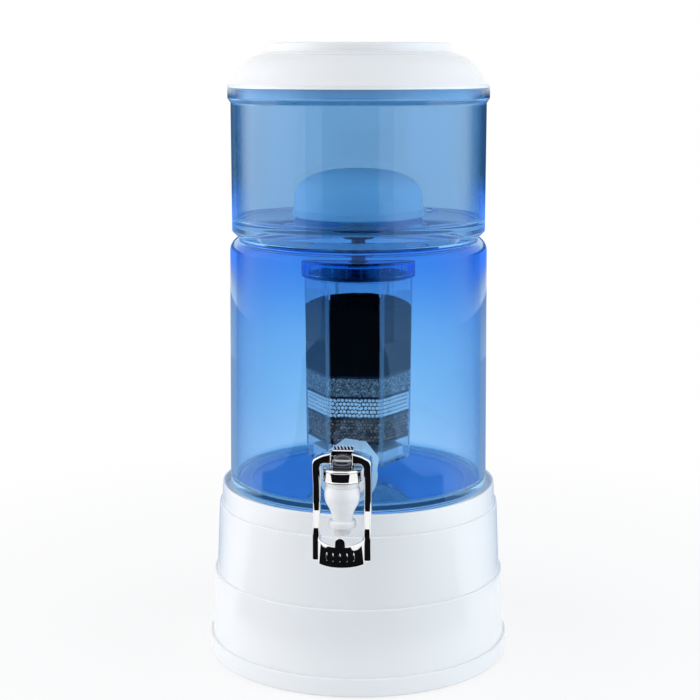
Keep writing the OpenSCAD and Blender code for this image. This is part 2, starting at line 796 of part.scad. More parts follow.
module upper_tank() {
    nub_ring_r = 86;
    nub_h = 2.4;
    color([0.2, 0.45, 0.8, 0.45])
        difference() {
            union() {
                rotate_extrude($fn = 180)
                    polygon(concat(
                        [[spigot_r - spigot_wall, seat_z - spigot_drop],
                         [spigot_r - 1, seat_z - spigot_drop],
                         [spigot_r, seat_z - spigot_drop + 1],
                         [spigot_r, seat_z], [seat_out_r, seat_z],
                         [upper_r, seat_z + skirt_h],
                         [upper_r, rim_z - rim_slope_h]],
                        curve([upper_r, rim_z - rim_slope_h], [upper_r, rim_z - rim_slope_h / 2],
                              [rim_r, rim_z - rim_slope_h / 2], [rim_r, rim_z], 6),
                        arc(rim_r - 1, upper_top_z - 1, 1, 0, 90, 4),
                        [[rim_r - upper_wall, upper_top_z], [rim_r - upper_wall, rim_z],
                         [upper_in_r, rim_z - rim_slope_h]],
                        arc(upper_in_r - upper_fillet, upper_floor_z + upper_fillet, upper_fillet, 0, -90),
                        [[0, upper_floor_z], [0, upper_floor_z - upper_floor_t],
                         [spigot_r - spigot_wall, upper_floor_z - upper_floor_t]]));
                for (turn = [45:90:315])
                    rotate(turn)
                        translate([nub_ring_r, 0, upper_floor_z - 1])
                            cylinder(h = nub_h + 1, r1 = 3.4, r2 = 2.4);
            }
            translate([0, 0, upper_floor_z - upper_floor_t - 1])
                cylinder(h = upper_floor_t + 2, r = stem_r + 0.6);
        }
}

// ---- Dome filter ----

// Outline of the dome at its full size less an even wall.
function dome_outline(wall) = let (r = dome_r - wall, h = dome_h - dome_side_h - wall, n = dome_power)
    [for (i = [0:16]) let (a = i * 90 / 16)
        [r * pow(cos(a), 2 / n), dome_z + dome_side_h + h * pow(sin(a), 2 / n)]];

module ceramic_dome() {
    color([0.95, 0.95, 0.93])
        rotate_extrude()
            polygon(concat([[dome_r, dome_z]], dome_outline(0),
                           backwards(dome_outline(dome_wall)), [[dome_r - dome_wall, dome_z]]));
}

// Plate that the dome is bonded to, with the threaded stem below it.
module dome_base() {
    plate_r = dome_r + 1.4;
    step_t = 2;
    color([0.9, 0.92, 0.94])
        difference() {
            rotate_extrude()
                polygon([[0, stem_end_z], [stem_r - 0.8, stem_end_z], [stem_r, stem_end_z + 0.8],
                         [stem_r, plate_z], [plate_r - 1, plate_z], [plate_r, plate_z + 1],
                         [plate_r, dome_z - 1], [plate_r - 1, dome_z],
                         [dome_r - dome_wall - still_fit, dome_z],
                         [dome_r - dome_wall - still_fit - 1, dome_z + step_t], [0, dome_z + step_t]]);
            translate([0, 0, stem_end_z - 1])
                cylinder(h = dome_z + step_t - stem_end_z + 2, r = stem_bore_r);
        }
}

module dome_washer() {
    washer_r = 17;
    color([0.8, 0.82, 0.85])
        translate([0, 0, upper_floor_z])
            difference() {
                cylinder(h = dome_washer_t, r = washer_r);
                translate([0, 0, -1])
                    cylinder(h = dome_washer_t + 2, r = stem_r + still_fit);
            }
}

module stem_nut() {
    corner_r = stem_nut_af / 2 / cos(30);
    collar_t = 2;
    color([0.15, 0.25, 0.42])
        translate([0, 0, stem_nut_z])
            difference() {
                union() {
                    intersection() {
                        cylinder(h = stem_nut_h, r = corner_r, $fn = 6);
                        cylinder(h = stem_nut_h, r1 = corner_r - 1.6, r2 = corner_r + 4);
                    }
                    translate([0, 0, stem_nut_h - collar_t])
                        cylinder(h = collar_t, r = corner_r + 1);
                }
                translate([0, 0, -1])
                    cylinder(h = stem_nut_h + 2, r = stem_r + run_fit);
            }
}

// ---- Cartridge ----

// Corner radius of the housing at height z.
function cart_r(z) = cart_low_r + (cart_top_r - cart_low_r) * (z - cart_low_z) / cart_h;

// A six-sided ring of points with each corner cut off by a flat.
function six_sides(r, flat) = [for (i = [0:5])
    let (here = r * [cos(60 * i), sin(60 * i)],
         before = r * [cos(60 * i - 60), sin(60 * i - 60)],
         after = r * [cos(60 * i + 60), sin(60 * i + 60)])
    each [here + (before - here) * flat / r, here + (after - here) * flat / r]];

// A slice of the tapered housing between two heights, moved in from its outside.
module cart_slice(z0, z1, inset) {
    low = cart_r(z0) - inset / cos(30);
    high = cart_r(z1) - inset / cos(30);
    translate([0, 0, z0])
        linear_extrude(height = z1 - z0, scale = high / low)
            polygon(six_sides(low, cart_chamfer));
}

cart_neck_r = cap_r - cap_wall - 0.6 - still_fit;
cart_neck_wall = 1.8;
cart_neck_top_z = cap_top_z - cap_wall - 1.4;
bed_inset = cart_wall + 0.25;
screen_z = [outlet_z + outlet_h - screen_t,
            outlet_z + outlet_h + dark_h,
            outlet_z + outlet_h + dark_h + screen_t + white_h,
            outlet_z + outlet_h + dark_h + 2 * screen_t + white_h + mineral_h];
carbon_z = screen_z[3] + screen_t;

module neck_ring() {
    ring_t = 2.6;
    color([0.2, 0.2, 0.22])
        translate([0, 0, cap_top_z])
            rotate_extrude()
                translate([stem_r + run_fit + ring_t / 2, ring_t / 2])
                    circle(d = ring_t, $fn = 24);
}

// Cap with grip ribs round its side and a threaded hub for the stem.
module cartridge_cap() {
    rib_count = 24;
    rib_r = 0.7;
    hub_r = stem_r + 3.4;
    edge = 1.5;
    color([0.12, 0.3, 0.6, 0.7])
        difference() {
            union() {
                rotate_extrude()
                    polygon([[stem_r + run_fit, cap_top_z],
                             [cap_r - edge - rib_r, cap_top_z], [cap_r - rib_r, cap_top_z - edge],
                             [cap_r - rib_r, cap_low_z + 3.2], [cap_r, cap_low_z + 2.6],
                             [cap_r, cap_low_z], [cap_r - cap_wall, cap_low_z],
                             [cap_r - cap_wall - 0.6, cap_low_z + 1],
                             [cap_r - cap_wall - 0.6, cap_top_z - cap_wall],
                             [hub_r, cap_top_z - cap_wall], [hub_r, hub_z],
                             [stem_r + run_fit, hub_z]]);
                for (i = [0:rib_count - 1])
                    rotate((i + 0.5) * 360 / rib_count)
                        translate([cap_r - rib_r, 0, cap_low_z + 1])
                            cylinder(h = cap_h - edge - 1.4, r = rib_r, $fn = 16);
            }
            for (i = [0:3])
                rotate(45 + 90 * i)
                    translate([cap_r * 0.55, 0, cap_top_z - cap_wall - 1])
                        cylinder(h = cap_wall + 2, r = 1.6, $fn = 24);
        }
}

module cartridge_gasket() {
    gasket_w = 2;
    color([0.85, 0.86, 0.88])
        translate([0, 0, cart_neck_top_z])
            difference() {
                cylinder(h = cap_top_z - cap_wall - cart_neck_top_z, r = cart_neck_r);
                translate([0, 0, -1])
                    cylinder(h = cap_wall + 4, r = cart_neck_r - gasket_w);
            }
}

// The housing: six clear walls, a round neck for the cap and a floor with outlet holes.
module cartridge_body() {
    outlet_hole_r = 1.5;
    color([0.35, 0.6, 0.9, 0.35])
        difference() {
            union() {
                cart_slice(cart_low_z, cart_top_z, 0);
                translate([0, 0, cart_top_z - 1])
                    cylinder(h = cart_neck_top_z - cart_top_z + 1, r = cart_neck_r);
            }
            cart_slice(outlet_z, cart_top_z - cart_wall, cart_wall);
            translate([0, 0, cart_top_z - cart_wall - 1])
                cylinder(h = cap_h, r = cart_top_r * cos(30) - cart_wall);
            translate([0, 0, cart_top_z])
                cylinder(h = cap_h, r = cart_neck_r - cart_neck_wall);
            for (ring = [[12, 6], [24, 12], [34, 18]])
                for (i = [0:ring[1] - 1])
                    rotate((i + 0.5) * 360 / ring[1])
                        translate([ring[0], 0, cart_low_z - 1])
                            cylinder(h = cart_wall + 2, r = outlet_hole_r, $fn = 24);
        }
}

// Holes through a screen whose underside is at z.
module screen_holes(z) {
    hole_pitch = 11;
    rim_w = 6;
    for (i = [-3:3])
        for (j = [-3:3])
            let (x = (i + j / 2) * hole_pitch, y = j * hole_pitch * cos(30))
                if (norm([x, y]) < cart_low_r * cos(30) - rim_w)
                    translate([x, y, z - 1])
                        cylinder(h = screen_t + 2, r = 2, $fn = 24);
}

// Four six-sided screens keep the beds apart, and a round one lies on the ledge inside the neck.
module bed_screens() {
    color([0.3, 0.36, 0.48]) {
        for (z = screen_z)
            difference() {
                cart_slice(z, z + screen_t, bed_inset);
                screen_holes(z);
            }
        difference() {
            translate([0, 0, cart_top_z])
                cylinder(h = screen_t, r = cart_neck_r - cart_neck_wall - still_fit);
            screen_holes(cart_top_z);
        }
    }
}

// The carbon lies heaped under the open space at the top: it falls from the middle to the corners.
module carbon_bed() {
    flat_r = 14;
    edge_r = cart_top_r + 1;
    heap_z = carbon_z + carbon_h - 0.1;
    color([0.06, 0.06, 0.07])
        intersection() {
            cart_slice(carbon_z, carbon_z + carbon_h, bed_inset);
            rotate_extrude()
                polygon(concat([[0, carbon_z - 1], [0, heap_z]],
                               curve([flat_r, heap_z], [flat_r + 12, heap_z],
                                     [edge_r - 10, heap_z - carbon_fall / 2],
                                     [edge_r, heap_z - carbon_fall * 1.5], 8),
                               [[edge_r, carbon_z - 1]]));
        }
}

module mineral_bed() {
    color([0.5, 0.51, 0.55])
        cart_slice(screen_z[2] + screen_t, screen_z[3], bed_inset);
}

module white_ball_bed() {
    color([0.85, 0.88, 0.92])
        cart_slice(screen_z[1] + screen_t, screen_z[2], bed_inset);
}

module dark_ball_bed() {
    color([0.2, 0.12, 0.14])
        cart_slice(screen_z[0] + screen_t, screen_z[1], bed_inset);
}

// Soft pad in the bottom chamber that holds back fines.
module outlet_pad() {
    pad_h = 8;
    color([0.75, 0.82, 0.9])
        cart_slice(outlet_z, outlet_z + pad_h, bed_inset + 4);
}

// ---- Lid ----

disc_edge = 2;
lid_z = upper_top_z;
lid_flange_top = lid_z + lid_flange_h;
disc_low_z = lid_top_z - disc_h;
lid_shoulder = curve([disc_r + 7, disc_low_z - 2.2], [disc_r + 20, disc_low_z - 4.6],
                     [rim_r - 10, lid_flange_top + 11.2], [rim_r - 1.2, lid_flange_top + 0.8], 16);

// The lid is one shell: disc, shoulder, flange and the skirt that drops into the upper tank.
module lid() {
    skirt_t = 2.4;
    skirt_in_r = lid_skirt_r - skirt_t;
    groove_h = 2.6;
    disc_in_r = disc_r - lid_wall;
    inside = [for (p = beside(lid_shoulder, -lid_wall)) if (p[0] < skirt_in_r) p];
    color([0.94, 0.94, 0.95])
        rotate_extrude($fn = 180)
            polygon(concat(
                [[0, lid_top_z + 0.6]],
                arc(disc_r - disc_edge, lid_top_z - disc_edge, disc_edge, 88, 0, 6),
                arc(disc_r + 1.5, disc_low_z + 1.5, 1.5, 180, 262, 4),
                lid_shoulder,
                [[rim_r - 1.2, lid_flange_top], [rim_r - 0.4, lid_flange_top],
                 [rim_r, lid_flange_top - 0.4], [rim_r, lid_z],
                 [rim_r - upper_wall, lid_z], [rim_r - upper_wall, lid_z + groove_h],
                 [lid_skirt_r, lid_z + groove_h], [lid_skirt_r, lid_z - lid_skirt],
                 [skirt_in_r, lid_z - lid_skirt]],
                backwards(inside),
                [[disc_in_r, disc_low_z - lid_wall], [disc_in_r, lid_top_z - lid_wall - 0.5],
                 [disc_in_r - 0.5, lid_top_z - lid_wall], [0, lid_top_z + 0.6 - lid_wall]]));
}

base_stand();
base_feet();
base_pad();
glass_tank();
tap_body();
tap_outer_washer();
tap_inner_washer();
tap_nut();
tap_bonnet();
tap_spring();
tap_stem();
tap_seat_cup();
lever_pin();
tap_lever();
upper_tank();
ceramic_dome();
dome_base();
dome_washer();
stem_nut();
neck_ring();
cartridge_cap();
cartridge_gasket();
cartridge_body();
bed_screens();
carbon_bed();
mineral_bed();
white_ball_bed();
dark_ball_bed();
outlet_pad();
lid();
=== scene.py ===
# Gravity water filter with a push tap: the finishes and the detailed pieces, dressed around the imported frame.
# Metres. The origin is on the tank axis at the floor, +Z is up and the tap faces -Y.

import bmesh
import bpy
import numpy as np
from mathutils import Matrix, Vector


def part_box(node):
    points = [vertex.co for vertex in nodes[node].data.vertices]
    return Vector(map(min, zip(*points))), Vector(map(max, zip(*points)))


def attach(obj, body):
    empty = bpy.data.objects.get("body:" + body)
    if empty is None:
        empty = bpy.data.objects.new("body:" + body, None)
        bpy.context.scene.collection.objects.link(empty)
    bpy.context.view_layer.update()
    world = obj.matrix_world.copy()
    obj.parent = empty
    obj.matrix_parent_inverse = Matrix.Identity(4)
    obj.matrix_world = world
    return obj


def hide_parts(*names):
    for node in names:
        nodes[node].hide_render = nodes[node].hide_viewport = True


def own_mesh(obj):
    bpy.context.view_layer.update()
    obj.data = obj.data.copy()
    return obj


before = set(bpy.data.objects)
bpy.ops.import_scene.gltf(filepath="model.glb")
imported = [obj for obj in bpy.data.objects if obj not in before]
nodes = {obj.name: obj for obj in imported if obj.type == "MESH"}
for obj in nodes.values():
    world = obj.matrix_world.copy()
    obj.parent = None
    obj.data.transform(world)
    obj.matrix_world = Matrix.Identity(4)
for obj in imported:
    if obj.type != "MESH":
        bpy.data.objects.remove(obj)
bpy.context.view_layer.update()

# ---- Studio ----
# A pale floor, two tall soft panels at the sides and a soft key lamp at the upper left front. Reflections see
# walls in place of the lamps: black card in front, white panels at the sides and blue card behind.

MM = 0.001
CAMERA_AZIMUTH = np.radians(4.5)
CAMERA_DISTANCE = 1.3915
CAMERA_HEIGHT = 0.529
CAMERA_PITCH = np.radians(10.39)
FOCAL_PX = 1580.9
FRAME_PX = 700
AXIS_RIGHT_PX = 8.5
SENSOR_MM = 36


def put(tree, kind, sockets=(), **settings):
    """Adds a node to a node tree. Settings are the node's own properties, and sockets maps an input's name
    or number to a value or to the output that feeds it."""
    node = tree.nodes.new("ShaderNode" + kind)
    for key, value in settings.items():
        setattr(node, key, value)
    for key, value in dict(sockets).items():
        if isinstance(value, bpy.types.NodeSocket):
            tree.links.new(value, node.inputs[key])
        else:
            node.inputs[key].default_value = value
    return node


def blank(name):
    """A new material with an empty node tree."""
    material = bpy.data.materials.new(name)
    material.use_nodes = True
    material.node_tree.nodes.clear()
    return material, material.node_tree


def maths(tree, operation, a, b, c=0.5, **settings):
    """The output of a Math node over two or three plain values or sockets."""
    return put(tree, "Math", {0: a, 1: b, 2: c}, operation=operation, **settings).outputs[0]


def seen_directly(tree):
    """1 for a ray from the camera, straight or by way of mirrors and glass, and 0 after a matt bounce."""
    path = put(tree, "LightPath").outputs
    eye = maths(tree, "MAXIMUM", path["Is Camera Ray"], path["Is Glossy Ray"])
    eye = maths(tree, "MAXIMUM", eye, path["Is Transmission Ray"])
    matt = maths(tree, "SUBTRACT", 1.0, path["Diffuse Depth"], use_clamp=True)
    return maths(tree, "MULTIPLY", eye, matt)


def paint_with(tree, shader):
    """Leads a shader node to the material's output."""
    tree.links.new(shader.outputs[0], put(tree, "OutputMaterial").inputs["Surface"])


camera_data = bpy.data.cameras.new("camera")
camera_data.sensor_width = SENSOR_MM
camera_data.lens = SENSOR_MM * FOCAL_PX / FRAME_PX
camera = bpy.data.objects.new("camera", camera_data)
bpy.context.scene.collection.objects.link(camera)
camera.location = (CAMERA_DISTANCE * np.sin(CAMERA_AZIMUTH),
                   -CAMERA_DISTANCE * np.cos(CAMERA_AZIMUTH), CAMERA_HEIGHT)
camera.rotation_euler = (np.pi / 2 - CAMERA_PITCH, 0, CAMERA_AZIMUTH + np.arctan(AXIS_RIGHT_PX / FOCAL_PX))
bpy.context.scene.camera = camera
bpy.context.scene.view_settings.view_transform = "Standard"

AMBIENT = (0.45, 0.475, 0.50, 1)
world = bpy.data.worlds.new("studio")
bpy.context.scene.world = world
world.use_nodes = True
sky = world.node_tree
sky.nodes.clear()
level = put(sky, "Mix", {0: seen_directly(sky), 6: AMBIENT, 7: (1, 1, 1, 1)}, data_type="RGBA")
background = put(sky, "Background", {"Color": level.outputs[2], "Strength": 1.0})
sky.links.new(background.outputs[0], put(sky, "OutputWorld").inputs["Surface"])


def soft_lamp(name, place, target, size, radiance, colour):
    """A rectangular lamp of an even brightness, turned from its place to its target. Its power is radiance
    times pi times its area. Mirrors see the walls below instead."""
    data = bpy.data.lights.new(name, "AREA")
    data.shape = "RECTANGLE"
    data.size, data.size_y = size
    data.energy = radiance * np.pi * size[0] * size[1]
    data.color = colour
    lamp = bpy.data.objects.new(name, data)
    bpy.context.scene.collection.objects.link(lamp)
    lamp.location = place
    way = np.subtract(target, place)
    turn = np.arctan2(way[0], -way[1])
    lamp.rotation_euler = (np.arctan2(np.hypot(way[0], way[1]), -way[2]), 0, turn + np.pi)
    lamp.visible_camera = lamp.visible_transmission = lamp.visible_glossy = False


soft_lamp("panel_left", place=(-1.25, -0.32, 0.72), target=(0, 0, 0.3), size=(1.3, 1.5), radiance=2.1,
          colour=(0.98, 0.99, 1.0))
soft_lamp("panel_right", place=(1.22, -0.32, 0.72), target=(0, 0, 0.3), size=(1.3, 1.5), radiance=2.08,
          colour=(0.88, 0.95, 1.0))
soft_lamp("key", place=(-0.85, -1.15, 1.35), target=(0, 0, 0.25), size=(0.45, 0.45), radiance=4.1,
          colour=(1.0, 0.98, 0.96))


def mesh_piece(name, points, faces, sharp=35.0):
    """A piece from an array of points and lists of faces, smooth but for edges over an angle, facing
    outwards."""
    mesh = bpy.data.meshes.new(name)
    mesh.from_pydata(points, [], faces)
    mesh.validate()
    corners = np.zeros(len(mesh.loops), np.int32)
    mesh.loops.foreach_get("vertex_index", corners)
    mesh.calc_loop_triangles()
    triangles = np.zeros(len(mesh.loop_triangles) * 3, np.int32)
    mesh.loop_triangles.foreach_get("vertices", triangles)
    a, b, c = np.asarray(points)[triangles].reshape(-1, 3, 3).transpose(1, 0, 2)
    if np.einsum("ij,ij->", a, np.cross(b, c)) < 0:
        mesh.flip_normals()
    mesh.shade_smooth()
    mesh.set_sharp_from_angle(angle=np.radians(sharp))
    piece = bpy.data.objects.new(name, mesh)
    bpy.context.scene.collection.objects.link(piece)
    return piece


def grid_faces(rows, columns, loop_rows=False, loop_columns=False):
    """Quads over a grid of points numbered row by row, closed round either way where asked."""
    i = np.arange(rows - (not loop_rows))[:, None]
    j = np.arange(columns - (not loop_columns))[None]
    here, below = i * columns, (i + 1) % rows * columns
    right = (j + 1) % columns
    return np.stack([here + j, here + right, below + right, below + j], -1).reshape(-1, 4)


# The floor is lit like the rest, and lifted part of the way to white for the eye, so that shadows stay. Away
# from the object it is all white.
FLOOR_LIFT = 0.80
FLOOR_LIFT_NEAR, FLOOR_WHITE_FROM = 0.2, 0.75
FLOOR_HALF = 6.0
floor_paint, tree = blank("floor_paint")
matt = put(tree, "BsdfDiffuse", {"Color": (0.86, 0.86, 0.87, 1)})
glow = put(tree, "Emission", {"Color": (1, 1, 1, 1), "Strength": 1.0})
away = put(tree, "VectorMath", {0: put(tree, "TexCoord").outputs["Object"]}, operation="LENGTH")
lift = put(tree, "MapRange", {0: away.outputs["Value"], 1: FLOOR_LIFT_NEAR, 2: FLOOR_WHITE_FROM,
                              3: FLOOR_LIFT, 4: 1.0})
lift = maths(tree, "MULTIPLY", seen_directly(tree), lift.outputs[0])
paint_with(tree, put(tree, "MixShader", {0: lift, 1: matt.outputs[0], 2: glow.outputs[0]}))
floor = mesh_piece("floor", np.array([[-1, -1, 0], [1, -1, 0], [1, 1, 0], [-1, 1, 0]]) * FLOOR_HALF,
                   [[0, 1, 2, 3]])
floor.data.materials.append(floor_paint)


WALL_COLUMNS = 49


def painted_mask(tree, label):
    """The number that a mesh holds under this label, point by point."""
    return put(tree, "Attribute", attribute_name=label).outputs["Fac"]


def mark(piece, label, numbers):
    """Stores one number for each point of a piece, for its material to read."""
    piece.data.attributes.new(label, "FLOAT", "POINT").data.foreach_set("value", np.ravel(numbers))


def mirror_wall(name, profile, edges, paint, soft=0.0):
    """A studio wall that only reflections see. Its profile of (distance, height, strength) turns about the
    object's axis between two angles, counted from the front to the right, and fades over soft degrees there.
    Paint is a colour and a brightness, or a brightness of 0 for a matt card."""
    material, tree = blank(name)
    colour, glow = paint
    if glow:
        shader = put(tree, "Emission", {"Color": colour + (1,), "Strength": glow})
    else:
        shader = put(tree, "BsdfDiffuse", {"Color": colour + (1,)})
    bounce = maths(tree, "GREATER_THAN", put(tree, "LightPath").outputs["Glossy Depth"], 0.5)
    strength = maths(tree, "MULTIPLY", bounce, painted_mask(tree, "strength"))
    paint_with(tree, put(tree, "MixShader", {0: strength, 1: put(tree, "BsdfTransparent").outputs[0],
                                             2: shader.outputs[0]}))
    profile, edges = np.array(profile), np.broadcast_to(edges, (len(profile), 2))
    share = np.linspace(0, 1, WALL_COLUMNS)
    angle = edges[:, :1] + (edges[:, 1:] - edges[:, :1]) * share
    from_end = np.minimum(angle - edges[:, :1], edges[:, 1:] - angle)
    strength = profile[:, 2:] * (np.clip(from_end / soft, 0, 1) if soft else 1 + 0 * angle)
    reach, rise, angle = profile[:, :1], profile[:, 1:2], np.radians(angle)
    points = np.stack([reach * np.sin(angle), -reach * np.cos(angle), rise + 0 * angle], -1).reshape(-1, 3)
    wall = mesh_piece(name, points, grid_faces(len(profile), len(share)))
    mark(wall, "strength", strength)
    wall.data.materials.append(material)
    wall.visible_camera = wall.visible_diffuse = wall.visible_shadow = False


BLACK_FLOCK = ((0.006, 0.006, 0.007), 0)
SIDE_PROFILE = [[1.3, 0.12, 0], [1.3, 0.5, 1], [1.3, 1.6, 1]]
mirror_wall("card", [[0.27, 0.001, 1], [0.70, 0.001, 1], [0.80, 0.001, 1], [0.95, 0.001, 1], [2.0, 0.001, 1],
                     [2.0, 0.08, 1], [2.0, 0.47, 1]],
            [[-84, 80], [-84, 80], [-56, 40], [-50, 36], [-44, 30], [-27, 22], [-27, 22]], BLACK_FLOCK)
mirror_wall("card_wings", [[2.02, 0.05, 0.45], [2.02, 0.47, 0.45]], (-42, 35), BLACK_FLOCK)
mirror_wall("soft_wall_left", SIDE_PROFILE, (-112, -45), ((0.97, 0.985, 1), 1.7), 10)
mirror_wall("soft_wall_right", SIDE_PROFILE, (42, 112), ((0.78, 0.91, 1), 1.5), 10)
mirror_wall("back_card", [[0.30, 0.001, 1], [2.4, 0.001, 1]], (95, 265), ((0.28, 0.40, 0.60), 1.0), 35)
mirror_wall("back_wall", [[1.3, 0.14, 0], [1.3, 0.26, 1], [1.3, 0.47, 1], [1.3, 0.50, 0]], (110, 250),
            ((0.03, 0.10, 0.22), 1.0), 15)
mirror_wall("floor_wall", [[0.6, 0.27, 0], [0.6, 0.30, 1], [0.6, 0.34, 1], [0.6, 0.37, 0]], (95, 265),
            ((0.125, 0.33, 1), 1.2), 45)

# ---- Stand ----
# One moulding in glossy white plastic, hollow below, on four rubber feet. The frame's own solids have its
# ledges, ribs and bosses. The skin has the faint orange peel and handling marks of a moulding.

moulding = bpy.data.node_groups.new("moulded_skin", "ShaderNodeTree")
for label, kind in (("Place", "Vector"), ("Gloss", "Float"), ("Marks", "Float")):
    moulding.interface.new_socket(label, in_out="INPUT", socket_type="NodeSocket" + kind)
for label in ("Roughness", "Height"):
    moulding.interface.new_socket(label, in_out="OUTPUT", socket_type="NodeSocketFloat")
given = moulding.nodes.new("NodeGroupInput").outputs
made = moulding.nodes.new("NodeGroupOutput").inputs
PEEL_SCALE, CLOUD_SCALE = 420.0, 18.0
SCUFF_SCALE = (900.0, 40.0, 260.0)
peel = put(moulding, "TexNoise", {"Vector": given["Place"], "Scale": PEEL_SCALE, "Detail": 2.0})
cloud = put(moulding, "TexNoise", {"Vector": given["Place"], "Scale": CLOUD_SCALE, "Detail": 5.0,
                                       "Roughness": 0.6})
stretch = put(moulding, "Mapping", {"Vector": given["Place"], "Scale": SCUFF_SCALE})
scuff = put(moulding, "TexNoise", {"Vector": stretch.outputs[0], "Scale": 1.0, "Detail": 3.0})
scuff = put(moulding, "MapRange", {0: scuff.outputs[0], 1: 0.58, 2: 0.75})
both = maths(moulding, "ADD", cloud.outputs[0], scuff.outputs[0])
worn = maths(moulding, "MULTIPLY_ADD", both, given["Marks"], given["Gloss"])
moulding.links.new(worn, made["Roughness"])
moulding.links.new(peel.outputs[0], made["Height"])


def finish(name, colour, gloss, marks=0.05, peel_depth=0.02, coat=(0.0, 0.03), **plain):
    """An opaque finish, such as moulded plastic, rubber, fired clay or chrome: an even colour with faint
    clouding, the moulded skin's gloss and peel, and a clear coat's weight and roughness."""
    material, tree = blank(name)
    place = put(tree, "TexCoord").outputs["Object"]
    skin = put(tree, "Group", node_tree=moulding)
    tree.links.new(place, skin.inputs["Place"])
    skin.inputs["Gloss"].default_value = gloss
    skin.inputs["Marks"].default_value = marks
    cloud = put(tree, "TexNoise", {"Vector": place, "Scale": 9.0, "Detail": 3.0})
    darker = tuple(0.955 * c for c in colour) + (1,)
    tone = put(tree, "Mix", {0: cloud.outputs[0], 6: tuple(colour) + (1,), 7: darker}, data_type="RGBA")
    bump = put(tree, "Bump", {"Strength": peel_depth, "Distance": 0.0004, "Height": skin.outputs["Height"]})
    paint_with(tree, put(tree, "BsdfPrincipled", {
        "Base Color": tone.outputs[2], "Roughness": skin.outputs["Roughness"], "Normal": bump.outputs[0],
        "Coat Weight": coat[0], "Coat Roughness": coat[1], **plain}))
    return material


def dress(node, material):
    """Gives one of the frame's own solids a better material."""
    nodes[node].data.materials.clear()
    nodes[node].data.materials.append(material)


dress("base_stand", finish("stand_plastic", (0.87, 0.875, 0.885), 0.16, coat=(0.25, 0.04)))
dress("base_feet", finish("foot_rubber", (0.035, 0.036, 0.038), 0.62, 0.2, 0.2))
silicone = finish("silicone", (0.72, 0.76, 0.80), 0.34, 0.1, 0.05, **{"Subsurface Weight": 0.15})
for ring in ("base_pad", "tap_outer_washer", "tap_inner_washer", "dome_washer", "cartridge_gasket",
             "tap_seat_cup"):
    dress(ring, silicone)

# ---- Glass tank ----
# Blown tank of cobalt blue glass with a rounded shoulder and an open mouth. A hole is drilled for the tap.
# The floor is thicker than the wall. The tint is deeper at the shoulder and at the floor and paler between:
# painted light and shade, standing for the studio's uneven light and the shaded deck under the floor.


def rounded(corners, steps=6):
    """Outline from corners (radius, height, rounding). Each corner gives way to an arc that touches both of
    its sides, centred on its bisector at rounding / sin(half angle). All lengths are in millimetres."""
    corners = np.asarray(corners, float)
    spot, size = corners[:, :2], corners[:, 2]
    back = np.roll(spot, 1, 0) - spot
    ahead = np.roll(spot, -1, 0) - spot
    back /= np.maximum(np.linalg.norm(back, axis=1, keepdims=True), 1e-9)
    ahead /= np.maximum(np.linalg.norm(ahead, axis=1, keepdims=True), 1e-9)
    half = np.arccos(np.clip((back * ahead).sum(1), -1, 1)) / 2
    bisector = back + ahead
    bisector /= np.maximum(np.linalg.norm(bisector, axis=1, keepdims=True), 1e-9)
    centre = spot + bisector * (size / np.maximum(np.sin(half), 1e-9))[:, None]
    start = spot + back * (size / np.maximum(np.tan(half), 1e-9))[:, None] - centre
    side = np.sign(back[:, 1] * ahead[:, 0] - back[:, 0] * ahead[:, 1])
    turn = (side * (np.pi - 2 * half))[:, None] * np.linspace(0, 1, steps + 1)
    x = start[:, :1] * np.cos(turn) - start[:, 1:] * np.sin(turn)
    y = start[:, :1] * np.sin(turn) + start[:, 1:] * np.cos(turn)
    points = (centre[:, None] + np.stack([x, y], -1)).reshape(-1, 2)
    keep = np.linalg.norm(points - np.roll(points, 1, 0), axis=1) > 1e-4
    return points[keep] * MM


def box_mm(node):
    """Lowest and highest corner of one of the frame's nodes, in millimetres."""
    return [np.array(corner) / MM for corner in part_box(node)]


def turned(name, outline, turns=192, at=(0, 0), shape=None):
    """Surface of revolution: an outline point (r, z) sweeps (r s cos t, r s sin t, z) for t over a full
    turn, where s = shape(t, z) is 1 on a circle. Points on the axis are one vertex each, and an outline that
    stays off the axis closes on itself."""
    r, z = outline[:, 0], outline[:, 1]
    t = np.linspace(0, 2 * np.pi, turns, endpoint=False)
    scale = np.ones((len(r), len(t))) if shape is None else shape(t[None, :], z[:, None])
    ring = r[:, None] * scale
    points = np.stack([at[0] + ring * np.cos(t), at[1] + ring * np.sin(t), z[:, None] + 0 * ring], -1)
    on_axis = r < 1e-7
    faces = grid_faces(len(r), len(t), loop_rows=not on_axis.any(), loop_columns=True)
    number = np.arange(ring.size).reshape(ring.shape)
    number[on_axis] = number[on_axis][:, :1]
    faces = number.reshape(-1)[faces]
    used, faces = np.unique(faces, return_inverse=True)
    faces = faces.reshape(-1, 4)
    pinched = [f[np.sort(np.unique(f, return_index=True)[1])] for f in faces if len(set(f)) < 4]
    whole = faces[[len(set(f)) == 4 for f in faces]]
    faces = whole.tolist() + [p.tolist() for p in pinched]
    return mesh_piece(name, points.reshape(-1, 3)[used], faces)


def along_y(piece, y0, z0):
    """Turns a piece made round +Z to lie along +Y, with its zero at y0 and height z0."""
    points = np.zeros(len(piece.data.vertices) * 3)
    piece.data.vertices.foreach_get("co", points)
    x, y, z = points.reshape(-1, 3).T
    piece.data.vertices.foreach_set("co", np.stack([x, z + y0, z0 - y], -1).ravel())
    piece.data.update()
    return piece


def combine(piece, tool, operation):
    """Cuts a closed tool out of a closed piece, or adds it on, and deletes the tool."""
    join = piece.modifiers.new("combine", "BOOLEAN")
    join.object = tool
    join.operation = operation
    join.solver = "EXACT"
    bpy.context.view_layer.update()
    whole = piece.evaluated_get(bpy.context.evaluated_depsgraph_get())
    mesh = bpy.data.meshes.new_from_object(whole)
    piece.modifiers.clear()
    piece.data = mesh
    mesh.set_sharp_from_angle(angle=np.radians(35))
    bpy.data.objects.remove(tool)
    return piece


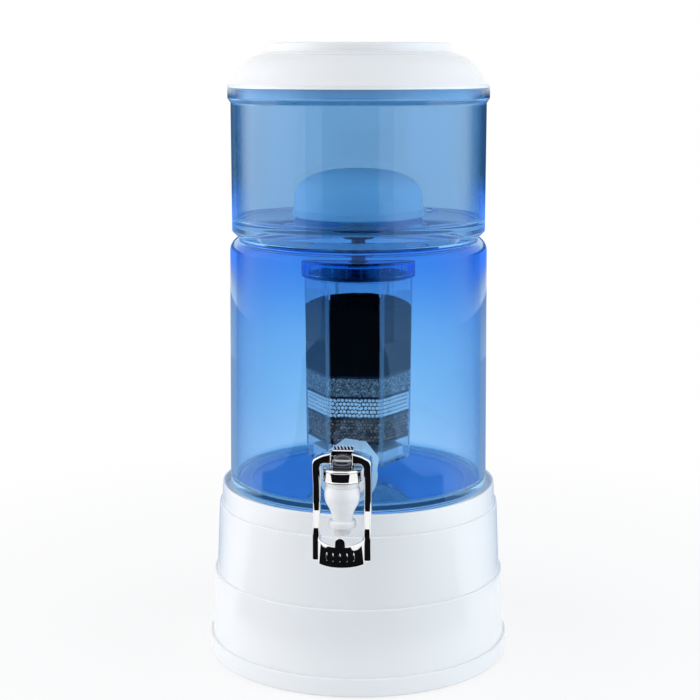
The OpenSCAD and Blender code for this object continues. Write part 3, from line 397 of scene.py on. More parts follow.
def even_tint(colour):
    """Tints for one colour throughout."""
    return [(0, colour), (1, colour)]


BOUNCES_HELD = 7.5


def tinted_clear(name, tints, edge_tint, edge_from=0.0, ior=1.5, lamp_tint=(0.8, 0.92, 1.0),
                 clear_floor=False, **plain):
    """Clear tinted glass or plastic. Tints are pairs of height and colour, blended upwards. Where the wall is
    seen along its face, from edge_from on, the colour goes towards edge_tint, as the way through is longer
    there. A clear floor has none of that on its level faces. Lamps and matt light pass straight on, and so
    does a ray caught in the wall, once twice its mirror bounces and all its bounces exceed BOUNCES_HELD."""
    material, tree = blank(name)
    place = put(tree, "SeparateXYZ", {0: put(tree, "TexCoord").outputs["Object"]})
    low, high = tints[0][0], tints[-1][0]
    climb = put(tree, "MapRange", {0: place.outputs["Z"], 1: low, 2: high})
    ramp = put(tree, "ValToRGB", {0: climb.outputs[0]})
    ramp.color_ramp.interpolation = "EASE"
    stops = ramp.color_ramp.elements
    for number, (height, colour) in enumerate(tints):
        stop = stops[number] if number < 2 else stops.new(1.0)
        stop.position = (height - low) / (high - low)
        stop.color = colour + (1,)
    facing = put(tree, "LayerWeight", {"Blend": 0.5}).outputs["Facing"]
    slant = put(tree, "MapRange", {0: facing, 1: edge_from}).outputs[0]
    if clear_floor:
        rise = put(tree, "SeparateXYZ", {0: put(tree, "TexCoord").outputs["Normal"]}).outputs["Z"]
        rise = put(tree, "Math", {0: rise}, operation="ABSOLUTE").outputs[0]
        slant = maths(tree, "MULTIPLY", slant, maths(tree, "SUBTRACT", 1.0, rise))
    deep = put(tree, "Mix", {0: slant, 6: (1, 1, 1, 1), 7: edge_tint + (1,)}, data_type="RGBA")
    colour = put(tree, "Mix", {0: 1.0, 6: ramp.outputs[0], 7: deep.outputs[2]}, data_type="RGBA",
                 blend_type="MULTIPLY")
    glass = put(tree, "BsdfPrincipled", {"Base Color": colour.outputs[2], "Roughness": 0.0, "IOR": ior,
                                         "Transmission Weight": 1.0, **plain})
    open_way = put(tree, "BsdfTransparent", {"Color": lamp_tint + (1,)})
    path = put(tree, "LightPath").outputs
    bounces = maths(tree, "MULTIPLY_ADD", path["Glossy Depth"], 2.0, path["Ray Depth"])
    caught = maths(tree, "GREATER_THAN", bounces, BOUNCES_HELD)
    straight = maths(tree, "MAXIMUM", path["Is Shadow Ray"], path["Is Diffuse Ray"])
    straight = maths(tree, "MAXIMUM", straight, caught)
    paint_with(tree, put(tree, "MixShader", {0: straight, 1: glass.outputs[0], 2: open_way.outputs[0]}))
    return material


(_, _, TANK_LOW), (TANK_FOOT_R, _, TANK_TOP) = box_mm("glass_tank")
TANK_TOP_R = TANK_FOOT_R - 2.2
TANK_WALL = 5.0
TANK_FLOOR = 8.0
MOUTH_R = 103.8
TAP_Y = -162.0
SHANK_Z = 186.0
TAP_HOLE_R = 9.6
HOLE_FROM_Y, HOLE_TO_Y = -140, -90
glass_tank = turned("glass_tank_blown", rounded([
    (0, TANK_LOW, 0), (TANK_FOOT_R, TANK_LOW, 6), (TANK_TOP_R, TANK_TOP, 12), (MOUTH_R, TANK_TOP, 1.6),
    (MOUTH_R, TANK_TOP - TANK_WALL, 1.6), (TANK_TOP_R - TANK_WALL, TANK_TOP - TANK_WALL, 7),
    (TANK_FOOT_R - TANK_WALL, TANK_LOW + TANK_FLOOR, 5), (0, TANK_LOW + TANK_FLOOR, 0)], 10), 288)
hole = np.array([[0, HOLE_FROM_Y], [TAP_HOLE_R, HOLE_FROM_Y], [TAP_HOLE_R, HOLE_TO_Y], [0, HOLE_TO_Y]]) * MM
combine(glass_tank, along_y(turned("hole", hole, 64), 0, SHANK_Z * MM), "DIFFERENCE")
# Tints by height: the deep tints at the floor and at the shoulder are painted shade.
COBALT_WITH_PAINTED_SHADE = [(TANK_LOW, (0.12, 0.42, 0.82)), (TANK_LOW + TANK_FLOOR, (0.28, 0.58, 0.90)),
          (TANK_LOW + 2 * TANK_FLOOR, (0.57, 0.77, 0.97)),
          ((TANK_LOW + TANK_TOP) / 2, (0.40, 0.675, 0.945)), (TANK_TOP, (0.14, 0.43, 0.90))]
glass_tank.data.materials.clear()
glass_tank.data.materials.append(tinted_clear(
    "cobalt_glass", [(height * MM, colour) for height, colour in COBALT_WITH_PAINTED_SHADE], (0.46, 0.73, 0.94),
    lamp_tint=(0.9, 0.96, 1.0), **{"Specular Tint": (0.38, 0.62, 1.0, 1)}))
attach(glass_tank, "tank")
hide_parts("glass_tank")

# ---- Upper tank ----
# Clear blue moulded plastic. A rim band carries the lid, and a spigot below the floor sits in the glass
# tank's mouth. Four small nubs on the floor keep the dome filter centred.

(_, _, SPIGOT_LOW), (RIM_R, _, UPPER_TOP) = box_mm("upper_tank")
UPPER_R = RIM_R - 2.6
UPPER_WALL = 3.4
SEAT = TANK_TOP
UPPER_FLOOR = SEAT + 15
FLOOR_T = 4.0
SPIGOT_R = 103.1
SPIGOT_WALL = 2.8
STEM_HOLE_R = 6.8
RIM_LOW = UPPER_TOP - 9
upper_tank = turned("upper_tank_moulded", rounded([
    (STEM_HOLE_R, UPPER_FLOOR - FLOOR_T, 0.3), (SPIGOT_R - SPIGOT_WALL, UPPER_FLOOR - FLOOR_T, 1.5),
    (SPIGOT_R - SPIGOT_WALL, SPIGOT_LOW, 0.8), (SPIGOT_R, SPIGOT_LOW, 0.8), (SPIGOT_R, SEAT, 0.6),
    (SPIGOT_R + 2.5, SEAT, 0.6), (UPPER_R, SEAT + 5.5, 1.2), (UPPER_R, RIM_LOW - 4, 1.5),
    (RIM_R, RIM_LOW, 1.2), (RIM_R, UPPER_TOP, 1.2), (RIM_R - UPPER_WALL, UPPER_TOP, 1.2),
    (RIM_R - UPPER_WALL, RIM_LOW, 1.5),
    (UPPER_R - UPPER_WALL, RIM_LOW - 5, 1.5), (UPPER_R - UPPER_WALL, UPPER_FLOOR, 4),
    (STEM_HOLE_R, UPPER_FLOOR, 0.3)], 8), 288)
NUB_RING = 86 * np.sqrt(0.5)
NUB_R, NUB_TIP_R, NUB_H = 3.4, 2.4, 2.4
nub_outline = rounded([(0, UPPER_FLOOR - 1, 0), (NUB_R, UPPER_FLOOR - 1, 0), (NUB_R, UPPER_FLOOR, 0.1),
                       (NUB_TIP_R, UPPER_FLOOR + NUB_H, 0.6), (0, UPPER_FLOOR + NUB_H, 0)])
for x, y in ((-1, -1), (1, -1), (1, 1), (-1, 1)):
    nub = turned("nub", nub_outline, 48, at=(x * NUB_RING * MM, y * NUB_RING * MM))
    combine(upper_tank, nub, "UNION")
PLASTIC_IOR = 1.49
upper_tank.data.materials.append(tinted_clear(
    "blue_clear_plastic", even_tint((0.395, 0.605, 0.81)), (0.15, 0.42, 0.68), edge_from=0.5, ior=PLASTIC_IOR,
    lamp_tint=(0.52, 0.76, 0.94), clear_floor=True))
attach(upper_tank, "upper")
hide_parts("upper_tank")

# ---- Lid ----
# White glossy plastic, one moulding: a raised disc, a curved shoulder, a thin flange over the tank's rim and
# a skirt inside it.

dress("lid", finish("lid_plastic", (0.87, 0.87, 0.88), 0.14, coat=(0.3, 0.03)))

# ---- Dome filter ----
# A ceramic dome bonded to a white plate, whose threaded stem passes through the tank's floor into a dark nut.
# Below the floor the stem is dark.

dress("ceramic_dome", finish("dome_ceramic", (0.87, 0.88, 0.89), 0.75, 0.1, 0.3))
dome_plate = finish("dome_plate", (0.78, 0.80, 0.83), 0.28)


def paint_over(material, share, colour):
    """Lays another colour over a finish, where share is 1."""
    tree = material.node_tree
    skin = next(node for node in tree.nodes if node.type == "BSDF_PRINCIPLED")
    under = skin.inputs["Base Color"].links[0].from_socket
    tone = put(tree, "Mix", {0: share, 6: under, 7: colour + (1,)}, data_type="RGBA")
    tree.links.new(tone.outputs[2], skin.inputs["Base Color"])


height = put(dome_plate.node_tree, "TexCoord").outputs["Object"]
height = put(dome_plate.node_tree, "SeparateXYZ", {0: height}).outputs["Z"]
below = put(dome_plate.node_tree, "MapRange", {0: height, 1: (UPPER_FLOOR - FLOOR_T + 0.5) * MM,
                                               2: (UPPER_FLOOR - FLOOR_T - 0.5) * MM})
paint_over(dome_plate, below.outputs[0], (0.03, 0.08, 0.20))
dress("dome_base", dome_plate)
dress("stem_nut", finish("nut_plastic", (0.02, 0.06, 0.16), 0.3))
dress("neck_ring", finish("ring_rubber", (0.02, 0.02, 0.022), 0.55, 0.2, 0.1))

# ---- Cartridge ----
# A round blue cap screws on a six-sided clear housing and hangs on the dome's stem. Perforated screens part
# the beds: carbon, crushed mineral, white balls and dark balls. A fibre pad lies in the bottom chamber.

HOUSING_LOW, HOUSING_TOP = 177.9, 341.9
HOUSING_LOW_R, HOUSING_TOP_R = 47.4, 49.0
HOUSING_WALL = 2.0
SIXTH = np.radians(60)


def corner_r(z):
    """Radius of the housing's corners at height z in metres: it tapers evenly from top to bottom."""
    share = (z / MM - HOUSING_LOW) / (HOUSING_TOP - HOUSING_LOW)
    return (HOUSING_LOW_R + (HOUSING_TOP_R - HOUSING_LOW_R) * share) * MM


def on_facets(u, z, inset):
    """Points on the housing's six sides, moved in by inset: u counts sides, and its fraction runs from
    corner to corner along a side. Each point lies on the straight line between two corners of radius r."""
    r = corner_r(z) - inset / np.cos(SIXTH / 2)
    side, share = np.floor(u), u - np.floor(u)
    a, b = side * SIXTH, (side + 1) * SIXTH
    return np.stack([r * ((1 - share) * np.cos(a) + share * np.cos(b)),
                     r * ((1 - share) * np.sin(a) + share * np.sin(b)), z + 0 * u], -1)


def unit_shape(fineness):
    """Points and triangles of a unit icosahedron, with its faces divided for a fineness over 1."""
    shape = bmesh.new()
    bmesh.ops.create_icosphere(shape, subdivisions=fineness, radius=1.0)
    points = np.array([v.co for v in shape.verts])
    faces = np.array([[v.index for v in f.verts] for f in shape.faces])
    shape.free()
    return points, faces


def scattered(name, centres, size, fineness, crush, seed, core):
    """Grains at the given centres, over a core solid. Each grain is the unit shape, scaled along its own
    three turned axes by 1 +- crush, with its points moved by as much again. Attribute tone holds one number
    a grain."""
    draw = np.random.default_rng(seed)
    unit, faces = unit_shape(fineness)
    count = len(centres)
    axes = np.linalg.qr(draw.normal(size=(count, 3, 3)))[0]
    scale = 1 + crush * draw.uniform(-1, 1, (count, 1, 3))
    local = unit * (1 + crush * draw.uniform(-1, 1, (count, len(unit), 1)) * 0.6) * scale
    points = np.einsum("nij,nkj->nki", axes, local) * size + centres[:, None]
    every = faces[None] + (np.arange(count) * len(unit))[:, None, None]
    core_points, core_faces = core
    points = np.concatenate([points.reshape(-1, 3), core_points])
    tones = np.repeat(draw.uniform(0.2, 1, count), len(unit))
    faces = every.reshape(-1, 3).tolist() + [[i + count * len(unit) for i in f] for f in core_faces]
    piece = mesh_piece(name, points, faces, 30.0 if crush else 80.0)
    mark(piece, "tone", np.concatenate([tones, np.zeros(len(core_points))]))
    return piece


def bed_core(low, high, inset):
    """Points and faces of a six-sided block that fills the housing from low to high, moved in by inset."""
    u = np.arange(6.0)
    points = np.concatenate([on_facets(u, low + 0 * u, inset), on_facets(u, high + 0 * u, inset)])
    sides = grid_faces(2, 6, loop_columns=True).tolist()
    return points, sides + [list(range(5, -1, -1)), list(range(6, 12))]


ROW_CLIMB = 0.87


def packed_rows(low, high, pitch, inset, loose, seed):
    """Centres in rows that climb by about 0.87 of the pitch, each row moved along by half a pitch, with a
    loose offset."""
    draw = np.random.default_rng(seed)
    rows = int((high - low - pitch) / (ROW_CLIMB * pitch)) + 1
    side = corner_r(low) - inset
    per_side = int(side / pitch)
    u = (np.arange(6)[:, None] + (np.arange(per_side) + 0.25) / per_side).ravel()
    lift = (high - low - pitch) / max(rows - 1, 1)
    row = np.arange(rows)
    u = u[None] + (row % 2)[:, None] * 0.5 / per_side
    z = low + pitch / 2 + lift * row[:, None] + 0 * u
    centres = on_facets(u.ravel(), z.ravel(), inset)
    return centres + loose * pitch * draw.uniform(-1, 1, centres.shape) * [1, 1, 0.6]


SPECK_SCALE = 1500.0


def grain_paint(name, gap_shade, dark, light, rough, **plain):
    """Fired or crushed mineral: each grain has its own tone between dark and light, with a fine speckle. The
    core behind the grains is painted dark: painted shade standing for the shaded gaps between grains."""
    material, tree = blank(name)
    tone = painted_mask(tree, "tone")
    place = put(tree, "TexCoord").outputs["Object"]
    speck = put(tree, "TexNoise", {"Vector": place, "Scale": SPECK_SCALE, "Detail": 2.0})
    both = maths(tree, "MULTIPLY_ADD", speck.outputs[0], 0.4, tone)
    both = put(tree, "MapRange", {0: both, 1: 0.3, 2: 1.3})
    colour = put(tree, "Mix", {0: both.outputs[0], 6: dark + (1,), 7: light + (1,)}, data_type="RGBA")
    grain = maths(tree, "GREATER_THAN", tone, 0.1)
    colour = put(tree, "Mix", {0: grain, 6: gap_shade + (1,), 7: colour.outputs[2]}, data_type="RGBA")
    paint_with(tree, put(tree, "BsdfPrincipled", {"Base Color": colour.outputs[2], "Roughness": rough,
                                                  **plain}))
    return material


BED_INSET = (HOUSING_WALL + 0.3) * MM
LOOSE_GRAINS, CLOSE_BALLS = 0.25, 0.07
# Each bed's pitch, fineness, crush, loose offset and seed, then its paint (painted shade of the gaps, dark and
# light grain colours, roughness) and its slot.
BEDS = {
    "mineral_bed": (1.45, 1, 0.55, LOOSE_GRAINS, 11,
                    ((0.06, 0.065, 0.08), (0.09, 0.095, 0.11), (0.56, 0.57, 0.60), 0.75), "mineral_grey"),
    "white_ball_bed": (3.2, 2, 0.0, CLOSE_BALLS, 12,
                       ((0.04, 0.08, 0.14), (0.90, 0.92, 0.94), (1.0, 1.0, 1.0), 0.3), "balls_white"),
    "dark_ball_bed": (3.0, 2, 0.05, CLOSE_BALLS, 13,
                      ((0.001, 0.001, 0.001), (0.012, 0.006, 0.006), (0.34, 0.22, 0.17), 0.25), "balls_dark")}
for bed, (pitch, fineness, crush, loose, seed, paint, slot) in BEDS.items():
    low, high = (corner[2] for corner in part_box(bed))
    grain_r = pitch / 2 * MM
    centres = packed_rows(low, high, pitch * MM, BED_INSET + grain_r * (1 + crush / 2), loose, seed)
    piece = scattered(bed + "_grains", centres, grain_r * (0.97 + crush / 3), fineness, crush, seed,
                      bed_core(low, high, BED_INSET + grain_r * 1.3))
    piece.data.materials.append(grain_paint(bed, *paint))
    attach(piece, "cartridge")
    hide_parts(bed)

# The carbon is a heap of granules: flat at the top, and lower towards the housing's corners. Crumbs lie
# along its rounded edge.
carbon_low, carbon_high = (corner[2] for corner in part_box("carbon_bed"))
HEAP_FLAT_R, HEAP_FALL = 14 * MM, 9 * MM
HEAP_BELOW, HEAP_ROUGH = 0.9 * MM, 0.35 * MM
HEAP_COLUMNS, TOP_RINGS, SIDE_RINGS = 144, 26, 10
CRUMBS, CRUMB_R = 900, 0.75 * MM
CARBON_BLACK = (0.0015, 0.0015, 0.0015)


def heap_top(x, y):
    """Height of the carbon's surface: level inside the flat radius, then falling with the square of the way
    out."""
    out = np.maximum(np.hypot(x, y) - HEAP_FLAT_R, 0) / (HOUSING_TOP_R * MM - HEAP_FLAT_R)
    return carbon_high - HEAP_BELOW - HEAP_FALL * out ** 2


def carbon_heap(draw):
    """Points and faces of the heap: rings of the housing's outline, shrunk towards the middle and set on the
    heap's surface, then rings down its side, and a fan of triangles at either end."""
    u = np.arange(HEAP_COLUMNS) / HEAP_COLUMNS * 6
    edge = on_facets(u, carbon_high + 0 * u, BED_INSET)
    top = edge[None] * np.linspace(0.02, 1, TOP_RINGS)[:, None, None]
    top[..., 2] = heap_top(top[..., 0], top[..., 1]) + HEAP_ROUGH * draw.uniform(-1, 1, top.shape[:2])
    drop = np.linspace(0, 1, SIDE_RINGS + 1)[1:, None]
    side_z = top[-1, :, 2] * (1 - drop) + carbon_low * drop
    rings = np.concatenate([top, on_facets(np.broadcast_to(u, side_z.shape), side_z, BED_INSET)])
    points = np.concatenate([[[0, 0, carbon_high - HEAP_BELOW]], rings.reshape(-1, 3), [[0, 0, carbon_low]]])
    faces = (grid_faces(len(rings), HEAP_COLUMNS, loop_columns=True) + 1).tolist()
    here = np.arange(HEAP_COLUMNS)
    following = (here + 1) % HEAP_COLUMNS
    last = 1 + (len(rings) - 1) * HEAP_COLUMNS
    faces += np.stack([0 * here, here + 1, following + 1], -1).tolist()
    faces += np.stack([0 * here + len(points) - 1, last + following, last + here], -1).tolist()
    return points, faces


draw = np.random.default_rng(14)
heap = carbon_heap(draw)
crumb_u = draw.uniform(0, 6, CRUMBS)
crumbs = on_facets(crumb_u, carbon_high + 0 * crumb_u, BED_INSET + HEAP_BELOW)
crumbs[:, :2] *= draw.uniform(0.55, 1, (CRUMBS, 1)) ** 0.5
crumbs[:, 2] = heap_top(crumbs[:, 0], crumbs[:, 1])
carbon = scattered("carbon_heap", crumbs, CRUMB_R, 1, 0.45, 15, heap)
carbon.data.materials.append(grain_paint("carbon", CARBON_BLACK, CARBON_BLACK, (0.006, 0.006, 0.006), 0.85,
                                         **{"Specular IOR Level": 0.1}))
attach(carbon, "cartridge")
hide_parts("carbon_bed")

dress("cartridge_cap", tinted_clear("cap_plastic", even_tint((0.16, 0.51, 0.84)), (0.3, 0.5, 0.9),
                                    ior=PLASTIC_IOR))
clear_housing = tinted_clear("housing_plastic", even_tint((0.93, 0.96, 0.985)), (0.5, 0.7, 0.9),
                             edge_from=0.4, ior=PLASTIC_IOR, lamp_tint=(0.98, 0.99, 1.0))
dress("cartridge_body", clear_housing)
# The narrow facets on the housing's six corners get a rougher, pale finish mixed in. It is partly real
# roughness and partly a painted highlight, and shows as pale lines. They lie beyond a radius that grows with
# height as the housing tapers.
FACET_INSET, FACET_HIGHLIGHT_SHARE = 1.0, 0.4
housing = clear_housing.node_tree
out = next(node for node in housing.nodes if node.type == "OUTPUT_MATERIAL")
place = put(housing, "SeparateXYZ", {0: put(housing, "TexCoord").outputs["Object"]})
flat = put(housing, "CombineXYZ", {0: place.outputs[0], 1: place.outputs[1]})
reach = put(housing, "VectorMath", {0: flat.outputs[0]}, operation="LENGTH")
taper = (HOUSING_TOP_R - HOUSING_LOW_R) / (HOUSING_TOP - HOUSING_LOW)
level = maths(housing, "MULTIPLY_ADD", place.outputs[2], -taper, reach.outputs["Value"])
facet_at = (HOUSING_LOW_R - FACET_INSET - taper * HOUSING_LOW) * MM
strip = put(housing, "MapRange", {0: level, 1: facet_at - 0.25 * MM, 2: facet_at - 0.05 * MM, 3: 0.0,
                                  4: FACET_HIGHLIGHT_SHARE})
# The pale colour at the corners is a painted highlight.
facet_painted_highlight = put(housing, "BsdfPrincipled", {"Base Color": (0.30, 0.44, 0.62, 1), "Roughness": 0.3})
mixed = put(housing, "MixShader", {0: strip.outputs[0], 1: out.inputs[0].links[0].from_socket,
                                   2: facet_painted_highlight.outputs[0]})
housing.links.new(mixed.outputs[0], out.inputs[0])
dress("bed_screens", finish("screen_plastic", (0.008, 0.016, 0.035), 0.4))
dress("outlet_pad", finish("pad_fibre", (0.50, 0.66, 0.82), 0.9, 0.1, 0.4))

# ---- Tap body ----
# White plastic turned and bored: a bulb with a spout, on a flanged and threaded shank. A long eight-sided nut
# holds it from inside the tank.

tap_white = finish("tap_plastic", (0.88, 0.88, 0.885), 0.14, coat=(0.3, 0.03))
dress("tap_body", tap_white)
dress("tap_nut", finish("tap_nut_plastic", (0.95, 0.97, 1.0), 0.22))

# ---- Tap bonnet ----
# A chromed ring that screws over the collar of the bulb. Rolled lips edge its polished band, and a white ring
# below it closes the gap to the bulb.

BONNET_LOW, BONNET_TOP = 197.3, 208.3
BONNET_R, BAND_R = 16.2, 15.8
BORE_R, ROD_HOLE_R = 12.9, 3.6
BONNET_ROOF = BONNET_TOP - 3.6
GAP_LOW = 193.3


def chromed(name):
    """Polished chrome."""
    return finish(name, (0.93, 0.935, 0.94), 0.025, 0.02, 0.0, Metallic=1.0)


bonnet = turned("bonnet_ring", rounded([
    (ROD_HOLE_R, BONNET_ROOF, 0.3), (BORE_R, BONNET_ROOF, 0.4), (BORE_R, BONNET_LOW, 0.4),
    (BONNET_R - 0.3, BONNET_LOW, 0.6), (BONNET_R, BONNET_LOW + 0.9, 0.4), (BAND_R, BONNET_LOW + 1.6, 0.3),
    (BAND_R, BONNET_TOP - 2.5, 0.3), (BONNET_R, BONNET_TOP - 1.9, 0.4), (BONNET_R, BONNET_TOP, 1.4),
    (ROD_HOLE_R, BONNET_TOP, 0.3)], 8), 128, at=(0, TAP_Y * MM))
bonnet.data.materials.append(chromed("chrome"))
gap_ring = turned("bonnet_gap_ring", rounded([
    (BORE_R, GAP_LOW, 0.2), (BORE_R + 0.5, GAP_LOW, 0.2), (BORE_R + 0.9, GAP_LOW + 1.7, 0.8),
    (BORE_R + 0.6, BONNET_LOW - 0.1, 0.2), (BORE_R, BONNET_LOW - 0.1, 0.2)], 8), 128, at=(0, TAP_Y * MM))
gap_ring.data.materials.append(tap_white)
for piece in (bonnet, gap_ring):
    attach(piece, "tank")
    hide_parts("tap_bonnet")

# ---- Tap plunger ----
# Dark grey plastic: a rod with a block head for the lever's pin. The head's top is a dish that leans forward,
# with a back edge that arches up and a front edge that sags.

HEAD_LOW, HEAD_TOP = BONNET_TOP + 0.3, 217.0
HEAD_HALF_W, HEAD_FRONT, HEAD_BACK = 7.5, 7.0, 5.2
HEAD_MID = (HEAD_BACK - HEAD_FRONT) / 2
HEAD_HALF_D = (HEAD_FRONT + HEAD_BACK) / 2
HEAD_LEAN, HEAD_ARCH, HEAD_SAG = 0.42, 2.6, 1.2
ROD_LOW, ROD_R, ROD_FLANGE_R = 167, 3.5, 4.7


def block_round(t, z):
    """Radius factor of a rounded block: 1 / ((|cos t| / a)^n + (|sin t| / b)^n)^(1/n), with a as the unit."""
    n = 5.0
    return (np.abs(np.cos(t)) ** n + np.abs(np.sin(t) * HEAD_HALF_W / HEAD_HALF_D) ** n) ** (-1 / n) + 0 * z


head = turned("plunger_head", rounded([
    (0, HEAD_LOW, 0), (HEAD_HALF_W, HEAD_LOW, 0.5), (HEAD_HALF_W, HEAD_TOP, 0.8),
    (HEAD_HALF_W - 1.7, HEAD_TOP, 0.8), (HEAD_HALF_W - 2.9, HEAD_TOP - 1.6, 0.9),
    (0, HEAD_TOP - 2.1, 0)], 7), 96, at=(0, (TAP_Y + HEAD_MID) * MM), shape=block_round)
spots = np.zeros(len(head.data.vertices) * 3)
head.data.vertices.foreach_get("co", spots)
spots = spots.reshape(-1, 3) / MM
above = np.clip((spots[:, 2] - HEAD_LOW) / (HEAD_TOP - HEAD_LOW), 0, 1)
rim = np.clip((spots[:, 2] - HEAD_TOP + 0.5) / 0.4, 0, 1)
dish_shade = (above > 0.5) * np.clip((HEAD_HALF_W - 1.6 - np.abs(spots[:, 0])) / 0.5, 0, 1) * (1 - rim)
out = (spots[:, 0] / HEAD_HALF_W) ** 2
aft = (spots[:, 1] - TAP_Y + HEAD_FRONT) / (HEAD_FRONT + HEAD_BACK)
lean = HEAD_LEAN * (spots[:, 1] - TAP_Y - HEAD_BACK)
spots[:, 2] += above * (lean - HEAD_ARCH * out * aft - HEAD_SAG * (1 - out) * (1 - aft))
head.data.vertices.foreach_set("co", np.ravel(spots * MM))
plunger_grey = finish("plunger_plastic", (0.06, 0.064, 0.078), 0.2, coat=(0.45, 0.06))
# The rim round the dish is painted a lighter grey as a painted highlight, and the dish is painted near black as
# painted shade in its hollow.
for label, share, colour in (("rim", rim, (0.20, 0.205, 0.225)), ("dish_shade", dish_shade, (0.008, 0.008, 0.010))):
    mark(head, label, share)
    paint_over(plunger_grey, painted_mask(plunger_grey.node_tree, label), colour)
head.data.materials.append(plunger_grey)
rod = turned("plunger_rod", rounded([
    (0, ROD_LOW, 0), (ROD_FLANGE_R, ROD_LOW, 0.4), (ROD_FLANGE_R, ROD_LOW + 2.4, 0.4),
    (ROD_R, ROD_LOW + 3.2, 0.2), (ROD_R, HEAD_LOW + 0.5, 0.2), (0, HEAD_LOW + 0.5, 0)]), 48,
    at=(0, TAP_Y * MM))
rod.data.materials.append(plunger_grey)
for piece in (head, rod):
    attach(piece, "plunger")
    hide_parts("tap_stem")

# ---- Tap lever ----
# Die-cast and chromed. An arch over the plunger's head, slotted for it, two arms that kick forward halfway
# down, a ribbed thumb rest behind the arch and a curved shield below that a cup or a thumb pushes.

ARCH_TOP, HEEL = 221.6, 208.6
ARM_OUT, ARM_IN = 23.6, 17.6
SLOT = 8.2
UNDER = HEEL + 5.5
KICK_TOP, KICK_LOW, KICK = 173.5, 158.5, 5.0
ARCH_END, ARM_FROM, ARM_END = 206, 194, 132.0
SHIELD_LOW, SHIELD_TOP, SHIELD_T = 130.6, 148.6, 2.4
SHIELD_ARC_R, SHIELD_MID_Y, SHIELD_CLIMB = 20.35, -1.6, 0.25
ARCH_FRONT, ARM_FRONT = 9.8, 4.0
ARCH_BACK, ARM_BACK = 11.0, 4.0
ARCH_FALL, FALL_WAY = 2.2, 19


CORNER_POINTS = 6


def round_section(half_w, half_d, rounding):
    """A rounded rectangle for each station: four quarter circles of its rounding about the inset corners."""
    quarter = np.linspace(0, np.pi / 2, CORNER_POINTS)
    t = (np.arange(4)[:, None] * np.pi / 2 + quarter).ravel()
    right, up = np.repeat([[1, -1, -1, 1], [1, 1, -1, -1]], CORNER_POINTS, axis=1)
    a = right * (half_w - rounding)[:, None] + rounding[:, None] * np.cos(t)
    b = up * (half_d - rounding)[:, None] + rounding[:, None] * np.sin(t)
    return a, b


CAST_SHARP = 40.0


def lofted(name, rings):
    """A closed skin over rings of points (stations, points, 3), with a flat face on each end."""
    stations, sides, _ = rings.shape
    faces = grid_faces(stations, sides, loop_columns=True).tolist()
    faces += [list(range(sides - 1, -1, -1)), list(range((stations - 1) * sides, stations * sides))]
    return mesh_piece(name, rings.reshape(-1, 3), faces, CAST_SHARP)


def evenly(path, count):
    """The same path through count points at equal distances along it."""
    along = np.concatenate([[0], np.linalg.norm(np.diff(path, axis=0), axis=1).cumsum()])
    at = np.linspace(0, along[-1], count)
    return np.stack([np.interp(at, along, path[:, 0]), np.interp(at, along, path[:, 1])], -1)


def half_lever(side):
    """One half of the lever: a rounded section between an outer and an inner line in the front view, and
    between a front and a back line in the side view. Its top falls towards the back."""
    tip = np.array([1.4, 0.7, 0.2, 0])
    levels = np.array([200, ARM_FROM, KICK_TOP + 1, KICK_TOP - 1, KICK_LOW + 1, KICK_LOW - 1, 145,
                       *(ARM_END + tip)])
    outer = rounded([(SLOT, ARCH_TOP + 0.3, 0), (16.0, ARCH_TOP - 1.8, 20), (ARM_OUT, ARCH_TOP - 6.2, 4.5),
                     (ARM_OUT, ARCH_END, 0)], 16)
    inner = rounded([(SLOT, UNDER - 1.5, 0), (ARM_IN, UNDER - 1.5, 4), (ARM_IN, ARCH_END, 0)], 16)
    outer, inner = (np.concatenate([evenly(arch, 34) / MM, np.stack([x + 0 * levels, levels], -1)])
                    for arch, x in ((outer, ARM_OUT), (inner, ARM_IN)))
    z = outer[:, 1]
    front = np.interp(z, [KICK_LOW, KICK_TOP, ARM_FROM, ARCH_END, ARCH_TOP],
                      [-ARM_FRONT - KICK, -ARM_FRONT, -ARM_FRONT, 1 - ARCH_FRONT, -ARCH_FRONT])
    back = np.interp(z, [KICK_LOW, KICK_TOP, ARM_FROM, HEEL, ARCH_TOP],
                     [ARM_BACK - KICK, ARM_BACK, ARM_BACK, ARCH_BACK, ARCH_BACK])
    inset = np.interp(z - ARM_END, tip[::-1], [1.1, 0.6, 0.15, 0])
    middle, way = (outer + inner) / 2, outer - inner
    half_w = np.linalg.norm(way, axis=1) / 2
    way /= 2 * half_w[:, None]
    half_d = (back - front) / 2
    a, b = round_section(half_w - inset, half_d - inset, 0 * z + 1.5)
    x = middle[:, :1] + way[:, :1] * a
    height = middle[:, 1:] + way[:, 1:] * a
    y = ((front + back) / 2)[:, None] + b
    share = np.clip((height - UNDER) / (ARCH_TOP - UNDER), 0, 1)
    drop = share * np.clip((y + ARCH_FRONT) / FALL_WAY, 0, 1) * ARCH_FALL
    return lofted("lever_half", np.stack([side * x, TAP_Y + y, height - drop], -1) * MM)


def lever_block(x, y, z, rounding):
    """A rounded bar along X between two corners: a cheek or bead by the slot, or the bridge behind."""
    end = np.array([0, 0.3, 1.0]) * rounding
    along = np.concatenate([x[0] + end, x[1] - end[::-1]])[:, None]
    shrink = rounding - np.concatenate([end, end[::-1]])
    a, b = round_section((z[1] - z[0]) / 2 - shrink, (y[1] - y[0]) / 2 - shrink, 0 * shrink + rounding)
    return lofted("lever_block", np.stack([along + 0 * a, TAP_Y + sum(y) / 2 + b, sum(z) / 2 + a], -1) * MM)


